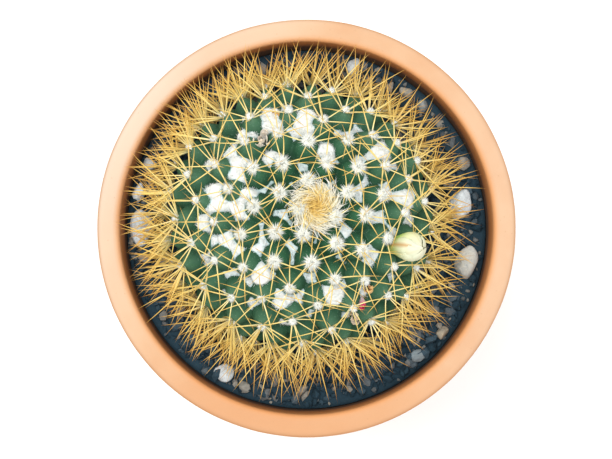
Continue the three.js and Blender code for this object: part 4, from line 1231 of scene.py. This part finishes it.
def make_stone(number, row):
    """A stone: a ball cut by random planes with softened edges, then roughened."""
    bearing, distance, round_wall, inwards, tall, finish = row
    random = np.random.default_rng(200 + number)
    rows, sides = 30, 44
    rays = np.concatenate([ball(rows, sides).reshape(-1, 3), [-UP, UP]])
    planes = unit(random.normal(0, 1, (16, 3)))
    offsets = random.uniform(0.72, 1.0, 16)
    near = np.maximum(rays @ planes.T, 0.02) / offsets
    radius = (near ** 9).sum(axis=1) ** (-1 / 9)
    radius = radius * (1 + 0.03 * noise(rays, 0.25, number) + 0.02 * noise(rays, 0.1, number + 1))
    shape = rays * np.minimum(radius, 1.08)[:, None] * np.array([inwards, round_wall, tall]) / 2
    angle = np.radians(bearing)
    level = SOIL_LEVEL + tall * (0.5 - STONE_SUNK)
    shape = shape @ rotation("Z", angle).T + polar_points(distance, angle, level)
    _, faces = capped(shape[:-2].reshape(rows, sides, 3), shape[-2], shape[-1])
    name = f"stone_{number}"
    fields = {"tint": np.full(len(shape), STONE_TINTS[number - 1])}
    piece = new_mesh(f"{finish}_{number}", shape, faces, stone_materials[finish], fields)
    return finish_piece(piece, finish, name)


axils = axil_places()
make_pot()
make_skin()
make_spines(axils)
make_felt()
make_wool()
make_crown()
make_bud(axils)
make_small_flowers(axils)
make_soil()
make_grains()
for stone_number, stone_row in enumerate(STONES, start=1):
    make_stone(stone_number, stone_row)


# Floor, light and camera

FLOOR_SIZE = 6000.0
FLOOR_DROP = 0.2
LIGHT_AIM = (0, 0, 0.1)


def make_floor():
    """A white square just under the pot's foot."""
    corners = np.array([[-1, -1, 0], [1, -1, 0], [1, 1, 0], [-1, 1, 0]])
    points = corners * FLOOR_SIZE / 2 - UP * FLOOR_DROP
    floor = Finish("floor", roughness=0.9, specular=0.0, base_color=(0.98, 0.98, 0.98, 1))
    new_mesh("floor", points, [np.array([[0, 1, 2, 3]])], floor.material)


def add_light(name, size, power, place, colour):
    """A round area light, turned towards the pot."""
    lamp = bpy.data.lights.new(name, "AREA")
    lamp.shape = "DISK"
    lamp.size = size
    lamp.energy = power
    lamp.color = colour
    lit = bpy.data.objects.new(name, lamp)
    bpy.context.scene.collection.objects.link(lit)
    lit.location = place
    aim = Vector(LIGHT_AIM) - Vector(place)
    lit.rotation_euler = aim.to_track_quat("-Z", "Y").to_euler()


def make_world(strength):
    """Even white light from all sides."""
    world = bpy.data.worlds.new("studio")
    bpy.context.scene.world = world
    world.use_nodes = True
    back = world.node_tree.nodes["Background"]
    back.inputs["Color"].default_value = (1, 1, 1, 1)
    back.inputs["Strength"].default_value = strength


CAMERA_ELEVATION = np.radians(87)
CAMERA_DISTANCE = 0.480
RIM_PIXELS = 420.3
PHOTO_WIDTH = 612.0
SHIFT_PIXELS = np.array([-0.5, -2.7])


def make_camera():
    """Almost straight above, with the rim as wide in the frame as in the photograph."""
    camera = bpy.data.cameras.new("camera")
    camera.sensor_width = 36
    view_width = 2 * RIM_RADIUS * MM * PHOTO_WIDTH / RIM_PIXELS
    camera.lens = camera.sensor_width * CAMERA_DISTANCE / view_width
    camera.shift_x, camera.shift_y = SHIFT_PIXELS / PHOTO_WIDTH
    camera.clip_start = 0.01
    piece = bpy.data.objects.new("camera", camera)
    bpy.context.scene.collection.objects.link(piece)
    target = np.array([0, 0, POT_HEIGHT * MM])
    away = np.array([0, -np.cos(CAMERA_ELEVATION), np.sin(CAMERA_ELEVATION)])
    piece.location = target + away * CAMERA_DISTANCE
    piece.rotation_euler = Vector(-away).to_track_quat("-Z", "Y").to_euler()
    bpy.context.scene.camera = piece


make_floor()
add_light("window", 0.8, 12.5, (-0.4, 0.3, 1.45), (1.0, 0.98, 0.95))
add_light("fill", 1.0, 8.5, (0.45, -0.3, 1.45), (0.97, 0.99, 1.0))
make_world(0.78)
make_camera()
bpy.context.scene.view_settings.view_transform = "Standard"
